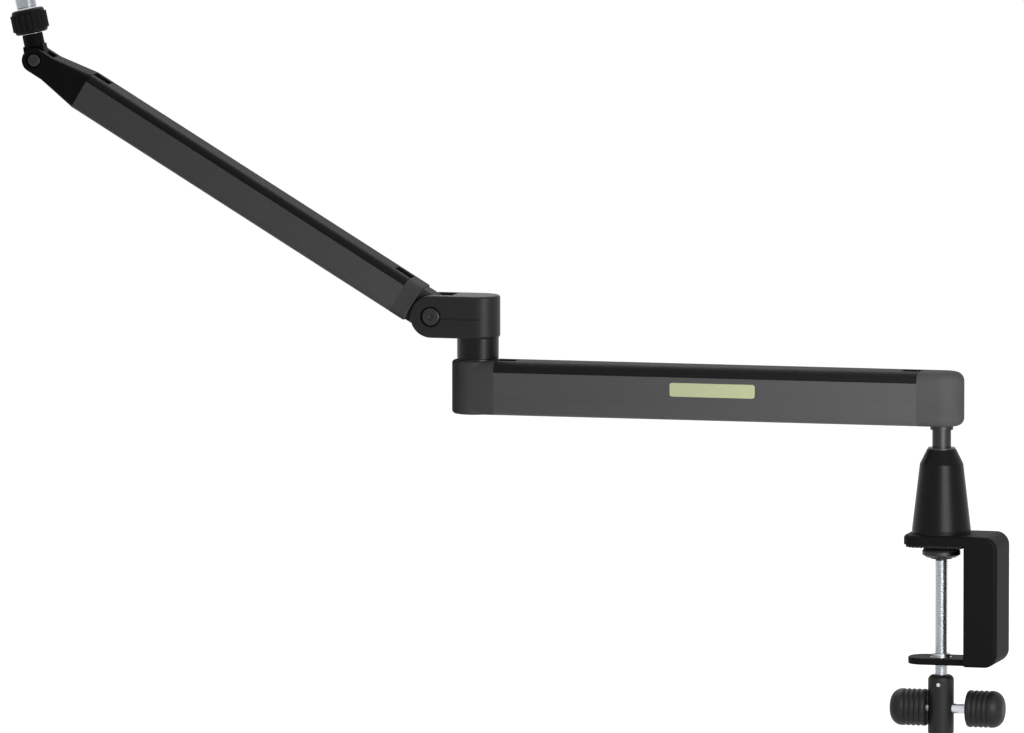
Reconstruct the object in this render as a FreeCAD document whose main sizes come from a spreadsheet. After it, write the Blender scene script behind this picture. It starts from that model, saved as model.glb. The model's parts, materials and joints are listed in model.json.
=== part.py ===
"""Low-profile microphone boom arm with a desk clamp.

The frame: the origin lies on the axis of the post and the clamp screw, on the underside of the upper jaw's
pad, where the desk top touches it. +Z is up and the lower arm points along -X. Lengths are in millimetres.
"""
import FreeCAD, Part
import math
import os

import Sketcher
from FreeCAD import Placement, Rotation, Vector

DIMENSIONS = {
    "jaw_tip": (26.0, "screw axis to the tip of the upper jaw"),
    "low_jaw_tip": (24.5, "screw axis to the tip of the lower jaw"),
    "spine_inside": (22.0, "screw axis to the inner face of the spine"),
    "spine_outside": (47.7, "screw axis to the outer face of the spine"),
    "clamp_width": (48.0, "width of the upper jaw and the spine"),
    "low_jaw_width": (30.0, "width of the lower jaw"),
    "jaw_pad_thick": (2.0, "rubber pad under the upper jaw"),
    "jaw_thick": (7.5, "upper jaw"),
    "low_jaw_thick": (5.0, "lower jaw"),
    "throat": (84.5, "desk plane to the top of the lower jaw"),
    "spine_corner": (10.0, "round of the spine's top and bottom corners"),
    "cone_base_dia": (44.4, "riser cone at its base"),
    "cone_top_dia": (32.8, "riser cone under its shoulder"),
    "cone_shoulder": (62.0, "height of the shoulder above the desk plane"),
    "cone_top": (73.0, "height of the top of the cone above the desk plane"),
    "cone_screw_circle": (28.0, "circle of the screws under the cone"),
    "cone_screw_dia": (5.0, "screws under the cone"),
    "cone_head_dia": (8.8, "heads of those screws"),
    "cone_head_height": (3.0, "heads of those screws"),
    "cone_screw_depth": (13.0, "threaded holes in the cone"),
    "insert_dia": (16.0, "threaded insert in the lower jaw"),
    "insert_collar_dia": (14.4, "collar of the insert above the jaw"),
    "insert_collar": (2.5, "height of that collar"),
    "post_dia": (14.2, "swivel post"),
    "post_foot": (30.0, "height of the foot of the post above the desk plane"),
    "run_gap": (0.05, "radial clearance of a running fit"),
    "bush_wall": (1.8, "wall of the plastic bushes"),
    "screw_dia": (10.0, "clamp screw"),
    "pad_gap": (2.6, "desk plane to the pressure pad as shown"),
    "pad_dia": (29.0, "pressure pad"),
    "pad_rubber": (1.5, "rubber on the pressure pad"),
    "pad_thick": (4.7, "pressure pad without its rubber"),
    "hub_dia": (19.6, "handle hub"),
    "hub_top": (98.0, "depth of the top of the hub below the desk plane"),
    "hub_foot": (144.0, "depth of the foot of the hub below the desk plane"),
    "bar_depth": (123.4, "depth of the cross bar below the desk plane"),
    "bar_dia": (8.0, "cross bar"),
    "grip_dia": (28.0, "barrel grip"),
    "grip_length": (28.2, "barrel grip"),
    "grip_play": (10.4, "travel of the cross bar in the hub"),
    "arm_reach": (360.0, "post axis to elbow axis"),
    "arm_foot": (90.8, "height of the underside of the lower arm"),
    "arm_height": (40.8, "lower arm"),
    "arm_width": (34.0, "lower arm"),
    "arm_low_round": (6.0, "round of the lower arm's bottom edges"),
    "arm_high_round": (7.0, "round of the lower arm's top edges"),
    "arm_wall": (2.5, "wall of the lower channel"),
    "arm_cover": (8.0, "height of the lower cable cover"),
    "drum_round": (2.5, "edges of the round elbow end"),
    "drum_offset": (2.7, "elbow axis to the centre of the round elbow end"),
    "cap_length": (16.0, "pivot axis to the joint between end block and channel"),
    "tongue_length": (22.0, "plug of an end block in its channel"),
    "plug_height": (14.0, "plug of an end block in the lower channel"),
    "column_dia": (31.7, "elbow column"),
    "elbow_bolt_dia": (12.0, "shoulder bolt of the elbow"),
    "elbow_bush_dia": (18.0, "bush of the elbow"),
    "recess_dia": (24.0, "recess for the elbow bolt's head"),
    "recess_depth": (11.6, "recess for the elbow bolt's head"),
    "bolt_grip": (11.0, "thread of the elbow bolt in the bracket"),
    "column_rise": (17.1, "top of the lower arm to the elbow bracket"),
    "thrust_gap": (1.0, "thrust flange between lower arm and column"),
    "bracket_height": (32.2, "elbow bracket"),
    "bracket_width": (34.0, "elbow bracket"),
    "tilt_offset": (33.0, "elbow axis to tilt axis"),
    "tilt_rest": (31.0, "rise of the upper arm as shown, in degrees"),
    "tilt_slot": (20.0, "gap between the ears of the tilt hinge"),
    "washer_thick": (1.1, "friction washers"),
    "tilt_bolt_dia": (8.0, "tilt bolt"),
    "upper_reach": (365.0, "tilt axis to tip axis"),
    "upper_height": (29.4, "upper arm"),
    "upper_width": (30.0, "upper arm"),
    "upper_round": (5.0, "round of the upper arm's edges"),
    "upper_wall": (2.2, "wall of the upper channel"),
    "upper_cover": (5.6, "height of the upper cable cover"),
    "upper_root": (17.2, "tilt axis to the root of the upper arm"),
    "upper_plug": (11.0, "height of a plug in the upper channel"),
    "upper_joint": (30.0, "tilt axis to the joint between root and channel"),
    "nose_length": (44.0, "channel to tip axis"),
    "nose_width": (24.0, "fork at the tip"),
    "nose_dia": (18.4, "round end of the fork"),
    "tip_slot": (13.2, "gap in the fork"),
    "tip_bolt_dia": (6.0, "tip bolt"),
    "head_lean": (12.0, "lean of the head from the vertical as shown, in degrees"),
    "neck_dia": (15.8, "neck of the head"),
    "neck_top": (20.0, "tip axis to the top of the neck"),
    "stud_dia": (15.88, "five eighths inch microphone thread"),
    "stud_top": (51.0, "tip axis to the top of the stud"),
    "ring_dia": (28.0, "lock ring"),
    "ring_height": (18.7, "lock ring"),
    "flute_count": (20, "flutes round the lock ring"),
    "edge": (1.2, "small round on cast edges"),
    "clip_gap": (0.15, "clearance of a clip-on cover's legs"),
}

doc = FreeCAD.newDocument("microphone_boom_arm")
sheet = doc.addObject("Spreadsheet::Sheet", "Sheet")


class Size:
    """A value together with the expression that works it out from the sheet."""

    def __init__(self, value, text):
        self.value = float(value)
        self.text = text

    def __add__(self, other):
        other = as_size(other)
        return Size(self.value + other.value, f"({self.text} + {other.text})")

    def __sub__(self, other):
        other = as_size(other)
        return Size(self.value - other.value, f"({self.text} - {other.text})")

    def __mul__(self, other):
        other = as_size(other)
        return Size(self.value * other.value, f"({self.text} * {other.text})")

    def __truediv__(self, other):
        other = as_size(other)
        return Size(self.value / other.value, f"({self.text} / {other.text})")

    def __neg__(self):
        return Size(-self.value, f"(-1 * {self.text})")

    def __radd__(self, other):
        return as_size(other) + self

    def __rsub__(self, other):
        return as_size(other) - self

    def __rmul__(self, other):
        return as_size(other) * self


def as_size(number):
    """Turn a plain number into a Size."""
    return number if isinstance(number, Size) else Size(number, f"({number})")


def sine(angle):
    return Size(math.sin(math.radians(angle.value)), f"sin({angle.text} * 1 deg)")


def cosine(angle):
    return Size(math.cos(math.radians(angle.value)), f"cos({angle.text} * 1 deg)")


class Cells:
    """The sheet's cells as attributes."""


def fill_sheet():
    """Write the driving dimensions into the sheet and return them by name."""
    cells = Cells()
    for row, (alias, (value, note)) in enumerate(DIMENSIONS.items(), start=1):
        sheet.set(f"A{row}", alias)
        sheet.set(f"B{row}", str(value))
        sheet.set(f"C{row}", note)
        sheet.setAlias(f"B{row}", alias)
        setattr(cells, alias, Size(value, f"Sheet.{alias}"))
    doc.recompute()
    return cells


d = fill_sheet()


def new_body(label):
    body = doc.addObject("PartDesign::Body", label)
    body.Label = label
    return body


def place(body, x=0, z=0, axis=Vector(0, 1, 0), angle=0):
    """Put a body at (x, 0, z), turned about an axis through that point."""
    angle = as_size(angle)
    body.Placement = Placement(Vector(0, 0, 0), Rotation(axis, angle.value))
    body.setExpression("Placement.Rotation.Angle", angle.text)
    body.setExpression("Placement.Base.x", as_size(x).text)
    body.setExpression("Placement.Base.z", as_size(z).text)


def sketch_on(body, plane, lift=0):
    """Start a sketch on one of the body's own planes, lifted along the plane's normal."""
    sketch = body.newObject("Sketcher::SketchObject", f"{body.Name}_sketch")
    support = next(item for item in body.Origin.OriginFeatures if item.Role == f"{plane}_Plane")
    sketch.AttachmentSupport = [(support, "")]
    sketch.MapMode = "FlatFace"
    sketch.setExpression("AttachmentOffset.Base.z", as_size(lift).text)
    return sketch


def bind(sketch, kind, *where, size):
    """Add a dimension to a sketch and bind it to the sheet."""
    index = sketch.addConstraint(Sketcher.Constraint(kind, *where, as_size(size).value))
    sketch.setExpression(f"Constraints[{index}]", as_size(size).text)


def fix_point(sketch, geometry, end, x, y):
    """Hold a point of the sketch at (x, y)."""
    for kind, size, axis in (("DistanceX", x, -2), ("DistanceY", y, -1)):
        if as_size(size).value == 0:
            sketch.addConstraint(Sketcher.Constraint("PointOnObject", geometry, end, axis))
        else:
            bind(sketch, kind, -1, 1, geometry, end, size=size)


def outline(sketch, *corners):
    """Draw a closed outline, counterclockwise. A third value in a corner makes the side that arrives there
    an arc of that radius, which swells outwards, or inwards where it is negative."""
    first = sketch.GeometryCount
    points = [Vector(as_size(c[0]).value, as_size(c[1]).value, 0) for c in corners]
    ends = []
    for index, corner in enumerate(corners):
        start, stop = points[index - 1], points[index]
        if len(corner) == 2:
            sketch.addGeometry(Part.LineSegment(start, stop))
            ends.append((1, 2))
            continue
        radius = as_size(corner[2])
        chord = stop - start
        right = Vector(chord.y, -chord.x, 0).normalize()
        bow = abs(radius.value) - math.sqrt(max(radius.value**2 - (chord.Length / 2)**2, 0))
        middle = (start + stop) / 2 + right * math.copysign(bow, radius.value)
        geometry = sketch.addGeometry(Part.Arc(start, middle, stop))
        runs_forward = sketch.getPoint(geometry, 1).distanceToPoint(start) < 1e-6
        ends.append((1, 2) if runs_forward else (2, 1))
        bind(sketch, "Radius", geometry, size=radius if radius.value > 0 else -radius)
    for index, corner in enumerate(corners):
        following = (index + 1) % len(corners)
        here = (first + index, ends[index][1])
        sketch.addConstraint(Sketcher.Constraint("Coincident", *here, first + following, ends[following][0]))
        fix_point(sketch, *here, corner[0], corner[1])


def rectangle(sketch, x_low, x_high, y_low, y_high):
    outline(sketch, (x_low, y_low), (x_high, y_low), (x_high, y_high), (x_low, y_high))


def circle(sketch, x, y, radius):
    centre = Vector(as_size(x).value, as_size(y).value, 0)
    geometry = sketch.addGeometry(Part.Circle(centre, Vector(0, 0, 1), as_size(radius).value))
    bind(sketch, "Radius", geometry, size=radius)
    if as_size(x).value == 0 and as_size(y).value == 0:
        sketch.addConstraint(Sketcher.Constraint("Coincident", geometry, 3, -1, 1))
    else:
        fix_point(sketch, geometry, 3, x, y)


def extrude(body, kind, sketch, length, symmetric=False, backwards=False):
    """Pad or pocket a sketch. A pocket that removes nothing is an error."""
    before = body.Shape.Volume if body.Tip else 0
    feature = body.newObject(f"PartDesign::{kind}", f"{body.Name}_{kind.lower()}")
    feature.Profile = sketch
    feature.setExpression("Length", as_size(length).text)
    feature.SideType = "Symmetric" if symmetric else "One side"
    feature.Reversed = backwards
    doc.recompute()
    if kind == "Pocket" and body.Shape.Volume > before - 1e-3:
        raise RuntimeError(f"a pocket of {body.Label} removes nothing")
    return feature


def pad(body, sketch, length, **how):
    return extrude(body, "Pad", sketch, length, **how)


def pocket(body, sketch, length, **how):
    return extrude(body, "Pocket", sketch, length, **how)


def revolve(body, sketch, axis="V_Axis", kind="Revolution", angle=360, backwards=False):
    """Turn a sketch about one of its own axes or edges, to add or with kind Groove to remove."""
    feature = body.newObject(f"PartDesign::{kind}", f"{body.Name}_{kind.lower()}")
    feature.Profile = sketch
    feature.ReferenceAxis = (sketch, [axis])
    feature.Angle = angle
    feature.Reversed = backwards
    doc.recompute()
    return feature


def turned(label, *corners):
    """A body turned about its Z axis from a half section of (radius, height) corners."""
    body = new_body(label)
    sketch = sketch_on(body, "XZ")
    outline(sketch, *corners)
    revolve(body, sketch)
    return body


def round_edges(body, radius, chosen):
    """Fillet the edges that the test chooses."""
    base = body.Tip
    names = [f"Edge{i}" for i, edge in enumerate(base.Shape.Edges, start=1) if chosen(edge)]
    if not names:
        raise RuntimeError(f"no edge of {body.Label} to round")
    feature = body.newObject("PartDesign::Fillet", f"{body.Name}_round")
    feature.Base = (base, names)
    feature.setExpression("Radius", as_size(radius).text)
    doc.recompute()
    if "Invalid" in feature.State or feature.Shape.isNull():
        raise RuntimeError(f"a round of {body.Label} fails")
    return feature


def lies_at(edge, **where):
    """True if the whole edge lies at the given coordinates, such as x=3."""
    box = edge.BoundBox
    reach = {"x": (box.XMin, box.XMax), "y": (box.YMin, box.YMax), "z": (box.ZMin, box.ZMax)}
    return all(abs(limit - as_size(size).value) < 1e-4 for key, size in where.items() for limit in reach[key])


def pattern(body, kind, feature, count, **extent):
    """Repeat a feature along an axis of its sketch, or round it."""
    repeat = body.newObject(f"PartDesign::{kind}", f"{body.Name}_pattern")
    repeat.Originals = [feature]
    repeat.setExpression("Occurrences", as_size(count).text)
    for name, value in extent.items():
        if isinstance(value, Size):
            repeat.setExpression(name, value.text)
        else:
            setattr(repeat, name, value)
    body.Tip = repeat
    doc.recompute()
    return repeat


def origin_axis(body, role):
    return (next(item for item in body.Origin.OriginFeatures if item.Role == f"{role}_Axis"), [""])


def tube_section(sketch, half_width, low, high, low_round, high_round):
    """The outer section of an arm, with rounded edges."""
    outline(
        sketch,
        (-half_width + low_round, low, low_round),
        (half_width - low_round, low),
        (half_width, low + low_round, low_round),
        (half_width, high - high_round),
        (half_width - high_round, high, high_round),
        (-half_width + high_round, high),
        (-half_width, high - high_round, high_round),
        (-half_width, low + low_round),
    )


def tube_half(sketch, half_width, low, high, low_round, high_round):
    """One half of that section, to be turned about its middle."""
    outline(
        sketch,
        (0, low),
        (half_width - low_round, low),
        (half_width, low + low_round, low_round),
        (half_width, high - high_round),
        (half_width - high_round, high, high_round),
        (0, high),
    )


def channel(label, half_width, low, seam, wall, edge_round, x_low, x_high):
    """An extruded channel along X, open at the top."""
    body = new_body(label)
    sketch = sketch_on(body, "YZ", x_low)
    inner = half_width - wall
    outline(
        sketch,
        (-half_width + edge_round, low, edge_round),
        (half_width - edge_round, low),
        (half_width, low + edge_round, edge_round),
        (half_width, seam),
        (inner, seam),
        (inner, low + edge_round),
        (half_width - edge_round, low + wall, wall - edge_round),
        (-half_width + edge_round, low + wall),
        (-inner, low + edge_round, wall - edge_round),
        (-inner, seam),
        (-half_width, seam),
        (-half_width, low + edge_round),
    )
    pad(body, sketch, x_high - x_low)
    return body


def cable_cover(label, half_width, seam, top, edge_round, channel_wall, x_low, x_high):
    """A clip-on cover for a channel: a crowned cap with two legs, and a cable notch in each end."""
    skin, leg_thick, leg_depth = 2.0, 1.6, 5.0
    notch_half_width, notch_length = 6.0, 14.0
    leg_outer = half_width - channel_wall - d.clip_gap
    leg_inner = leg_outer - leg_thick
    body = new_body(label)
    sketch = sketch_on(body, "YZ", x_low)
    outline(
        sketch,
        (half_width, seam),
        (half_width, top - edge_round),
        (half_width - edge_round, top, edge_round),
        (-half_width + edge_round, top),
        (-half_width, top - edge_round, edge_round),
        (-half_width, seam),
        (-leg_outer, seam),
        (-leg_outer, seam - leg_depth),
        (-leg_inner, seam - leg_depth),
        (-leg_inner, top - skin),
        (leg_inner, top - skin),
        (leg_inner, seam - leg_depth),
        (leg_outer, seam - leg_depth),
        (leg_outer, seam),
    )
    pad(body, sketch, x_high - x_low)
    notches = sketch_on(body, "XY", top + PAST)
    rectangle(notches, x_low - PAST, x_low + notch_length, -notch_half_width, notch_half_width)
    rectangle(notches, x_high - notch_length, x_high + PAST, -notch_half_width, notch_half_width)
    pocket(body, notches, skin + 2 * PAST)
    return body


def screw_set(body, kind, x_first, x_span=None, *, low, shank_dia, head_dia, head_height, length, row_gap):
    """Countersunk screws from below, or with kind Groove their holes: a pair, or a pair at each end of a
    span."""
    sketch = sketch_on(body, "XZ", row_gap / 2)
    outline(
        sketch,
        (x_first, low),
        (x_first + head_dia / 2, low),
        (x_first + shank_dia / 2, low + head_height),
        (x_first + shank_dia / 2, low + length),
        (x_first, low + length),
    )
    feature = revolve(body, sketch, "Edge1", kind)
    across = {"Direction": origin_axis(body, "Y"), "Length": as_size(row_gap)}
    if x_span is not None:
        across |= {"Direction2": origin_axis(body, "X"), "Length2": as_size(x_span), "Occurrences2": 2}
    pattern(body, "LinearPattern", feature, 2, **across)


# How far a cut runs past a face, and a joined form runs into its neighbour
PAST = 1.0

# Heights and places that several pieces share
JAW_TOP = d.jaw_pad_thick + d.jaw_thick
LOW_JAW_TOP = -d.throat
LOW_JAW_FOOT = LOW_JAW_TOP - d.low_jaw_thick
POST_RADIUS = d.post_dia / 2
BUSH_RADIUS = POST_RADIUS + d.run_gap + d.bush_wall
PAD_TOP = -(d.pad_gap + d.pad_rubber)
PAD_FOOT = PAD_TOP - d.pad_thick
GRIP_START = d.hub_dia / 2 + 0.4
SIDE_GAP = 0.1
ARM_HALF = d.arm_width / 2
ARM_TOP = d.arm_foot + d.arm_height
ARM_SEAM = ARM_TOP - d.arm_cover
ELBOW_X = -d.arm_reach
BRACKET_FOOT = ARM_TOP + d.column_rise
TILT_X = ELBOW_X - d.tilt_offset
TILT_Z = BRACKET_FOOT + d.bracket_height / 2
UPPER_HALF = d.upper_width / 2
UPPER_TOP = d.upper_height / 2
UPPER_SEAM = UPPER_TOP - d.upper_cover
NOSE_START = -(d.upper_reach - d.nose_length)
TIP_X = TILT_X - d.upper_reach * cosine(d.tilt_rest)
TIP_Z = TILT_Z + d.upper_reach * sine(d.tilt_rest)
CONE_SCREWS = 3
LOWER_SCREWS = {"low": d.arm_foot, "shank_dia": 4.0, "head_dia": 7.6, "head_height": 1.8, "length": 13.0,
                "row_gap": 14.0}
UPPER_SCREWS = {"low": -UPPER_TOP, "shank_dia": 3.0, "head_dia": 5.6, "head_height": 1.3, "length": 10.0,
                "row_gap": 12.0}


def screw_circle():
    """The places of the screws under the riser cone."""
    turn = 2 * math.pi / CONE_SCREWS
    return [(d.cone_screw_circle / 2 * math.cos(k * turn), d.cone_screw_circle / 2 * math.sin(k * turn))
            for k in range(CONE_SCREWS)]


def build_clamp():
    frame = new_body("clamp_frame")
    sketch = sketch_on(frame, "XZ")
    outline(
        sketch,
        (-d.jaw_tip, d.jaw_pad_thick),
        (d.spine_inside, d.jaw_pad_thick),
        (d.spine_inside, LOW_JAW_TOP),
        (-d.low_jaw_tip, LOW_JAW_TOP),
        (-d.low_jaw_tip, LOW_JAW_FOOT),
        (d.spine_outside, LOW_JAW_FOOT),
        (d.spine_outside, JAW_TOP),
        (-d.jaw_tip, JAW_TOP),
    )
    pad(frame, sketch, d.clamp_width, symmetric=True)
    trim = sketch_on(frame, "XY", LOW_JAW_TOP + PAST)
    half, outside = d.low_jaw_width / 2, d.clamp_width / 2 + PAST
    rectangle(trim, -d.jaw_tip, d.spine_inside, half, outside)
    rectangle(trim, -d.jaw_tip, d.spine_inside, -outside, -half)
    pocket(frame, trim, d.low_jaw_thick + 2 * PAST)
    tip_round, gusset_round, side_round, head_gap = 12, 5, 3, 0.2
    round_edges(frame, d.spine_corner, lambda e: lies_at(e, x=d.spine_outside, z=JAW_TOP)
                or lies_at(e, x=d.spine_outside, z=LOW_JAW_FOOT))
    round_edges(frame, tip_round, lambda e: lies_at(e, x=-d.jaw_tip, y=d.clamp_width / 2)
                or lies_at(e, x=-d.jaw_tip, y=-d.clamp_width / 2)
                or lies_at(e, x=-d.low_jaw_tip, y=half) or lies_at(e, x=-d.low_jaw_tip, y=-half))
    round_edges(frame, gusset_round, lambda e: lies_at(e, x=d.spine_inside, y=half)
                or lies_at(e, x=d.spine_inside, y=-half))
    round_edges(frame, side_round, lambda e: lies_at(e, x=d.spine_outside, y=d.clamp_width / 2)
                or lies_at(e, x=d.spine_outside, y=-d.clamp_width / 2))
    round_edges(frame, d.edge, lambda e: lies_at(e, z=JAW_TOP) and e.BoundBox.XMax < d.spine_outside.value
                or lies_at(e, z=LOW_JAW_FOOT) and e.BoundBox.XMax < d.spine_outside.value)
    holes = sketch_on(frame, "XY", d.jaw_pad_thick)
    heads = sketch_on(frame, "XY", d.jaw_pad_thick)
    for x, y in screw_circle():
        circle(holes, x, y, d.cone_screw_dia / 2)
        circle(heads, x, y, d.cone_head_dia / 2 + head_gap)
    pocket(frame, holes, d.jaw_thick, backwards=True)
    pocket(frame, heads, d.cone_head_height, backwards=True)
    seat = sketch_on(frame, "XY", LOW_JAW_TOP)
    circle(seat, 0, 0, d.insert_dia / 2)
    pocket(frame, seat, d.low_jaw_thick)

    rubber = new_body("jaw_pad")
    sketch = sketch_on(rubber, "XY")
    inset = 1.5
    rectangle(sketch, -d.jaw_tip + inset, d.spine_inside - inset, -d.clamp_width / 2 + inset,
              d.clamp_width / 2 - inset)
    pad(rubber, sketch, d.jaw_pad_thick)
    corner_x, corner_y = -d.jaw_tip + inset, d.clamp_width / 2 - inset
    round_edges(rubber, tip_round - inset, lambda e: lies_at(e, x=corner_x, y=corner_y)
                or lies_at(e, x=corner_x, y=-corner_y))

    insert_bore = d.screw_dia / 2 + d.run_gap
    turned(
        "thread_insert",
        (insert_bore, LOW_JAW_FOOT),
        (d.insert_dia / 2, LOW_JAW_FOOT),
        (d.insert_dia / 2, LOW_JAW_TOP),
        (d.insert_collar_dia / 2, LOW_JAW_TOP),
        (d.insert_collar_dia / 2, LOW_JAW_TOP + d.insert_collar),
        (insert_bore, LOW_JAW_TOP + d.insert_collar),
    )


def build_riser():
    floor_gap, rim_wall, foot_band, shoulder_round = 4, 2, 3, 4
    bore_floor = d.post_foot - floor_gap
    band_top = JAW_TOP + foot_band
    cone = turned(
        "riser_cone",
        (0, JAW_TOP),
        (d.cone_base_dia / 2, JAW_TOP),
        (d.cone_base_dia / 2, band_top),
        (d.cone_top_dia / 2, d.cone_shoulder),
        (BUSH_RADIUS + rim_wall, d.cone_top),
        (BUSH_RADIUS, d.cone_top),
        (BUSH_RADIUS, bore_floor),
        (0, bore_floor),
    )
    round_edges(cone, shoulder_round, lambda e: lies_at(e, z=d.cone_shoulder))
    round_edges(cone, d.edge, lambda e: lies_at(e, z=band_top))
    holes = sketch_on(cone, "XY", JAW_TOP)
    for x, y in screw_circle():
        circle(holes, x, y, d.cone_screw_dia / 2)
    pocket(cone, holes, d.cone_screw_depth, backwards=True)

    bush_bore, flange_lip, flange_thick = POST_RADIUS + d.run_gap, 1.4, 1.2
    turned(
        "cone_bush",
        (bush_bore, d.post_foot),
        (BUSH_RADIUS, d.post_foot),
        (BUSH_RADIUS, d.cone_top),
        (BUSH_RADIUS + flange_lip, d.cone_top),
        (BUSH_RADIUS + flange_lip, d.cone_top + flange_thick),
        (bush_bore, d.cone_top + flange_thick),
    )

    screws = new_body("cone_screws")
    sketch = sketch_on(screws, "XZ")
    axis_x, end_gap = d.cone_screw_circle / 2, 1
    head_x, shank_x = axis_x + d.cone_head_dia / 2, axis_x + d.cone_screw_dia / 2
    head_top, screw_top = d.jaw_pad_thick + d.cone_head_height, JAW_TOP + d.cone_screw_depth - end_gap
    outline(
        sketch,
        (axis_x, d.jaw_pad_thick),
        (head_x, d.jaw_pad_thick),
        (head_x, head_top),
        (shank_x, head_top),
        (shank_x, screw_top),
        (axis_x, screw_top),
    )
    screw = revolve(screws, sketch, "Edge1")
    pattern(screws, "PolarPattern", screw, CONE_SCREWS, Axis=origin_axis(screws, "Z"), Angle=360)


def build_clamp_screw():
    head_radius, neck_radius, cavity_height = 4.9, 3.2, 3.3
    retainer_radius, retainer_thick = 8, 1.2
    cavity_roof = PAD_FOOT + cavity_height
    disc_radius, bevel_width, bevel_height = d.pad_dia / 2, 3, 2
    rubber_radius, rubber_round = disc_radius - 0.6, 0.5
    turned(
        "pressure_pad",
        (head_radius + d.run_gap, PAD_FOOT),
        (disc_radius - bevel_width, PAD_FOOT),
        (disc_radius, PAD_FOOT + bevel_height),
        (disc_radius, PAD_TOP),
        (0, PAD_TOP),
        (0, cavity_roof),
        (head_radius + d.run_gap, cavity_roof),
    )
    rubber = turned(
        "pressure_pad_rubber",
        (0, PAD_TOP),
        (rubber_radius, PAD_TOP),
        (rubber_radius, -d.pad_gap),
        (0, -d.pad_gap),
    )
    round_edges(rubber, rubber_round, lambda e: lies_at(e, z=-d.pad_gap))
    turned(
        "pad_retainer",
        (neck_radius + d.run_gap, PAD_FOOT - retainer_thick),
        (retainer_radius, PAD_FOOT - retainer_thick),
        (retainer_radius, PAD_FOOT),
        (neck_radius + d.run_gap, PAD_FOOT),
    )
    socket_depth, neck_gap, pin_radius, pin_inset = 14, 0.3, 1.5, 0.3
    socket_foot = -d.hub_top - socket_depth
    neck_foot = PAD_FOOT - retainer_thick - neck_gap
    pin_z = -d.hub_top - socket_depth / 2
    screw = turned(
        "clamp_screw",
        (0, socket_foot),
        (d.screw_dia / 2, socket_foot),
        (d.screw_dia / 2, neck_foot),
        (neck_radius, neck_foot),
        (neck_radius, PAD_FOOT + d.run_gap),
        (head_radius, PAD_FOOT + d.run_gap),
        (head_radius, cavity_roof - d.run_gap),
        (0, cavity_roof - d.run_gap),
    )
    hub_radius, foot_round, top_round = d.hub_dia / 2, 3, 4
    hub = turned(
        "handle_hub",
        (0, -d.hub_foot),
        (hub_radius - foot_round, -d.hub_foot),
        (hub_radius, -d.hub_foot + foot_round, foot_round),
        (hub_radius, -d.hub_top - top_round),
        (hub_radius - top_round, -d.hub_top, top_round),
        (d.screw_dia / 2, -d.hub_top),
        (d.screw_dia / 2, socket_foot),
        (0, socket_foot),
    )
    cross_bore = sketch_on(hub, "YZ")
    circle(cross_bore, 0, -d.bar_depth, d.bar_dia / 2 + d.run_gap)
    pocket(hub, cross_bore, d.hub_dia * 2, symmetric=True)
    for body in (screw, hub):
        pin_bore = sketch_on(body, "XZ")
        circle(pin_bore, 0, pin_z, pin_radius)
        pocket(body, pin_bore, d.hub_dia * 2, symmetric=True)
    pin_half = hub_radius - pin_inset
    pin = turned("hub_pin", (0, -pin_half), (pin_radius, -pin_half), (pin_radius, pin_half), (0, pin_half))
    place(pin, z=pin_z, axis=Vector(1, 0, 0), angle=-90)


def build_tommy_bar():
    bore_share = 0.75
    bore_depth = d.grip_length * bore_share
    bar_radius = d.bar_dia / 2
    left_end = -(GRIP_START + bore_depth)
    right_end = GRIP_START + d.grip_play + bore_depth
    bar = turned("tommy_bar", (0, left_end), (bar_radius, left_end), (bar_radius, right_end), (0, right_end))
    place(bar, z=-d.bar_depth, angle=90)
    grip_radius, inner_round, dome_round = d.grip_dia / 2, 2, 9
    sides = (("bar_grip_left", -GRIP_START, -90), ("bar_grip_right", GRIP_START + d.grip_play, 90))
    for label, x, angle in sides:
        grip = turned(
            label,
            (bar_radius, 0),
            (grip_radius - inner_round, 0),
            (grip_radius, inner_round, inner_round),
            (grip_radius, d.grip_length - dome_round),
            (grip_radius - dome_round, d.grip_length, dome_round),
            (0, d.grip_length),
            (0, bore_depth),
            (bar_radius, bore_depth),
        )
        place(grip, x=x, z=-d.bar_depth, angle=angle)


def extend_to_channel(body, x_low, x_high, plug_low, plug_high):
    """Add the arm's own section to an end block of the lower arm, and its plug in the channel."""
    section = sketch_on(body, "YZ", x_low)
    tube_section(section, ARM_HALF, d.arm_foot, ARM_TOP, d.arm_low_round, d.arm_high_round)
    pad(body, section, x_high - x_low)
    plug = sketch_on(body, "YZ", plug_low)
    plug_half = ARM_HALF - d.arm_low_round
    plug_foot = d.arm_foot + d.arm_wall
    rectangle(plug, -plug_half, plug_half, plug_foot, plug_foot + d.plug_height)
    pad(body, plug, plug_high - plug_low)


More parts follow.
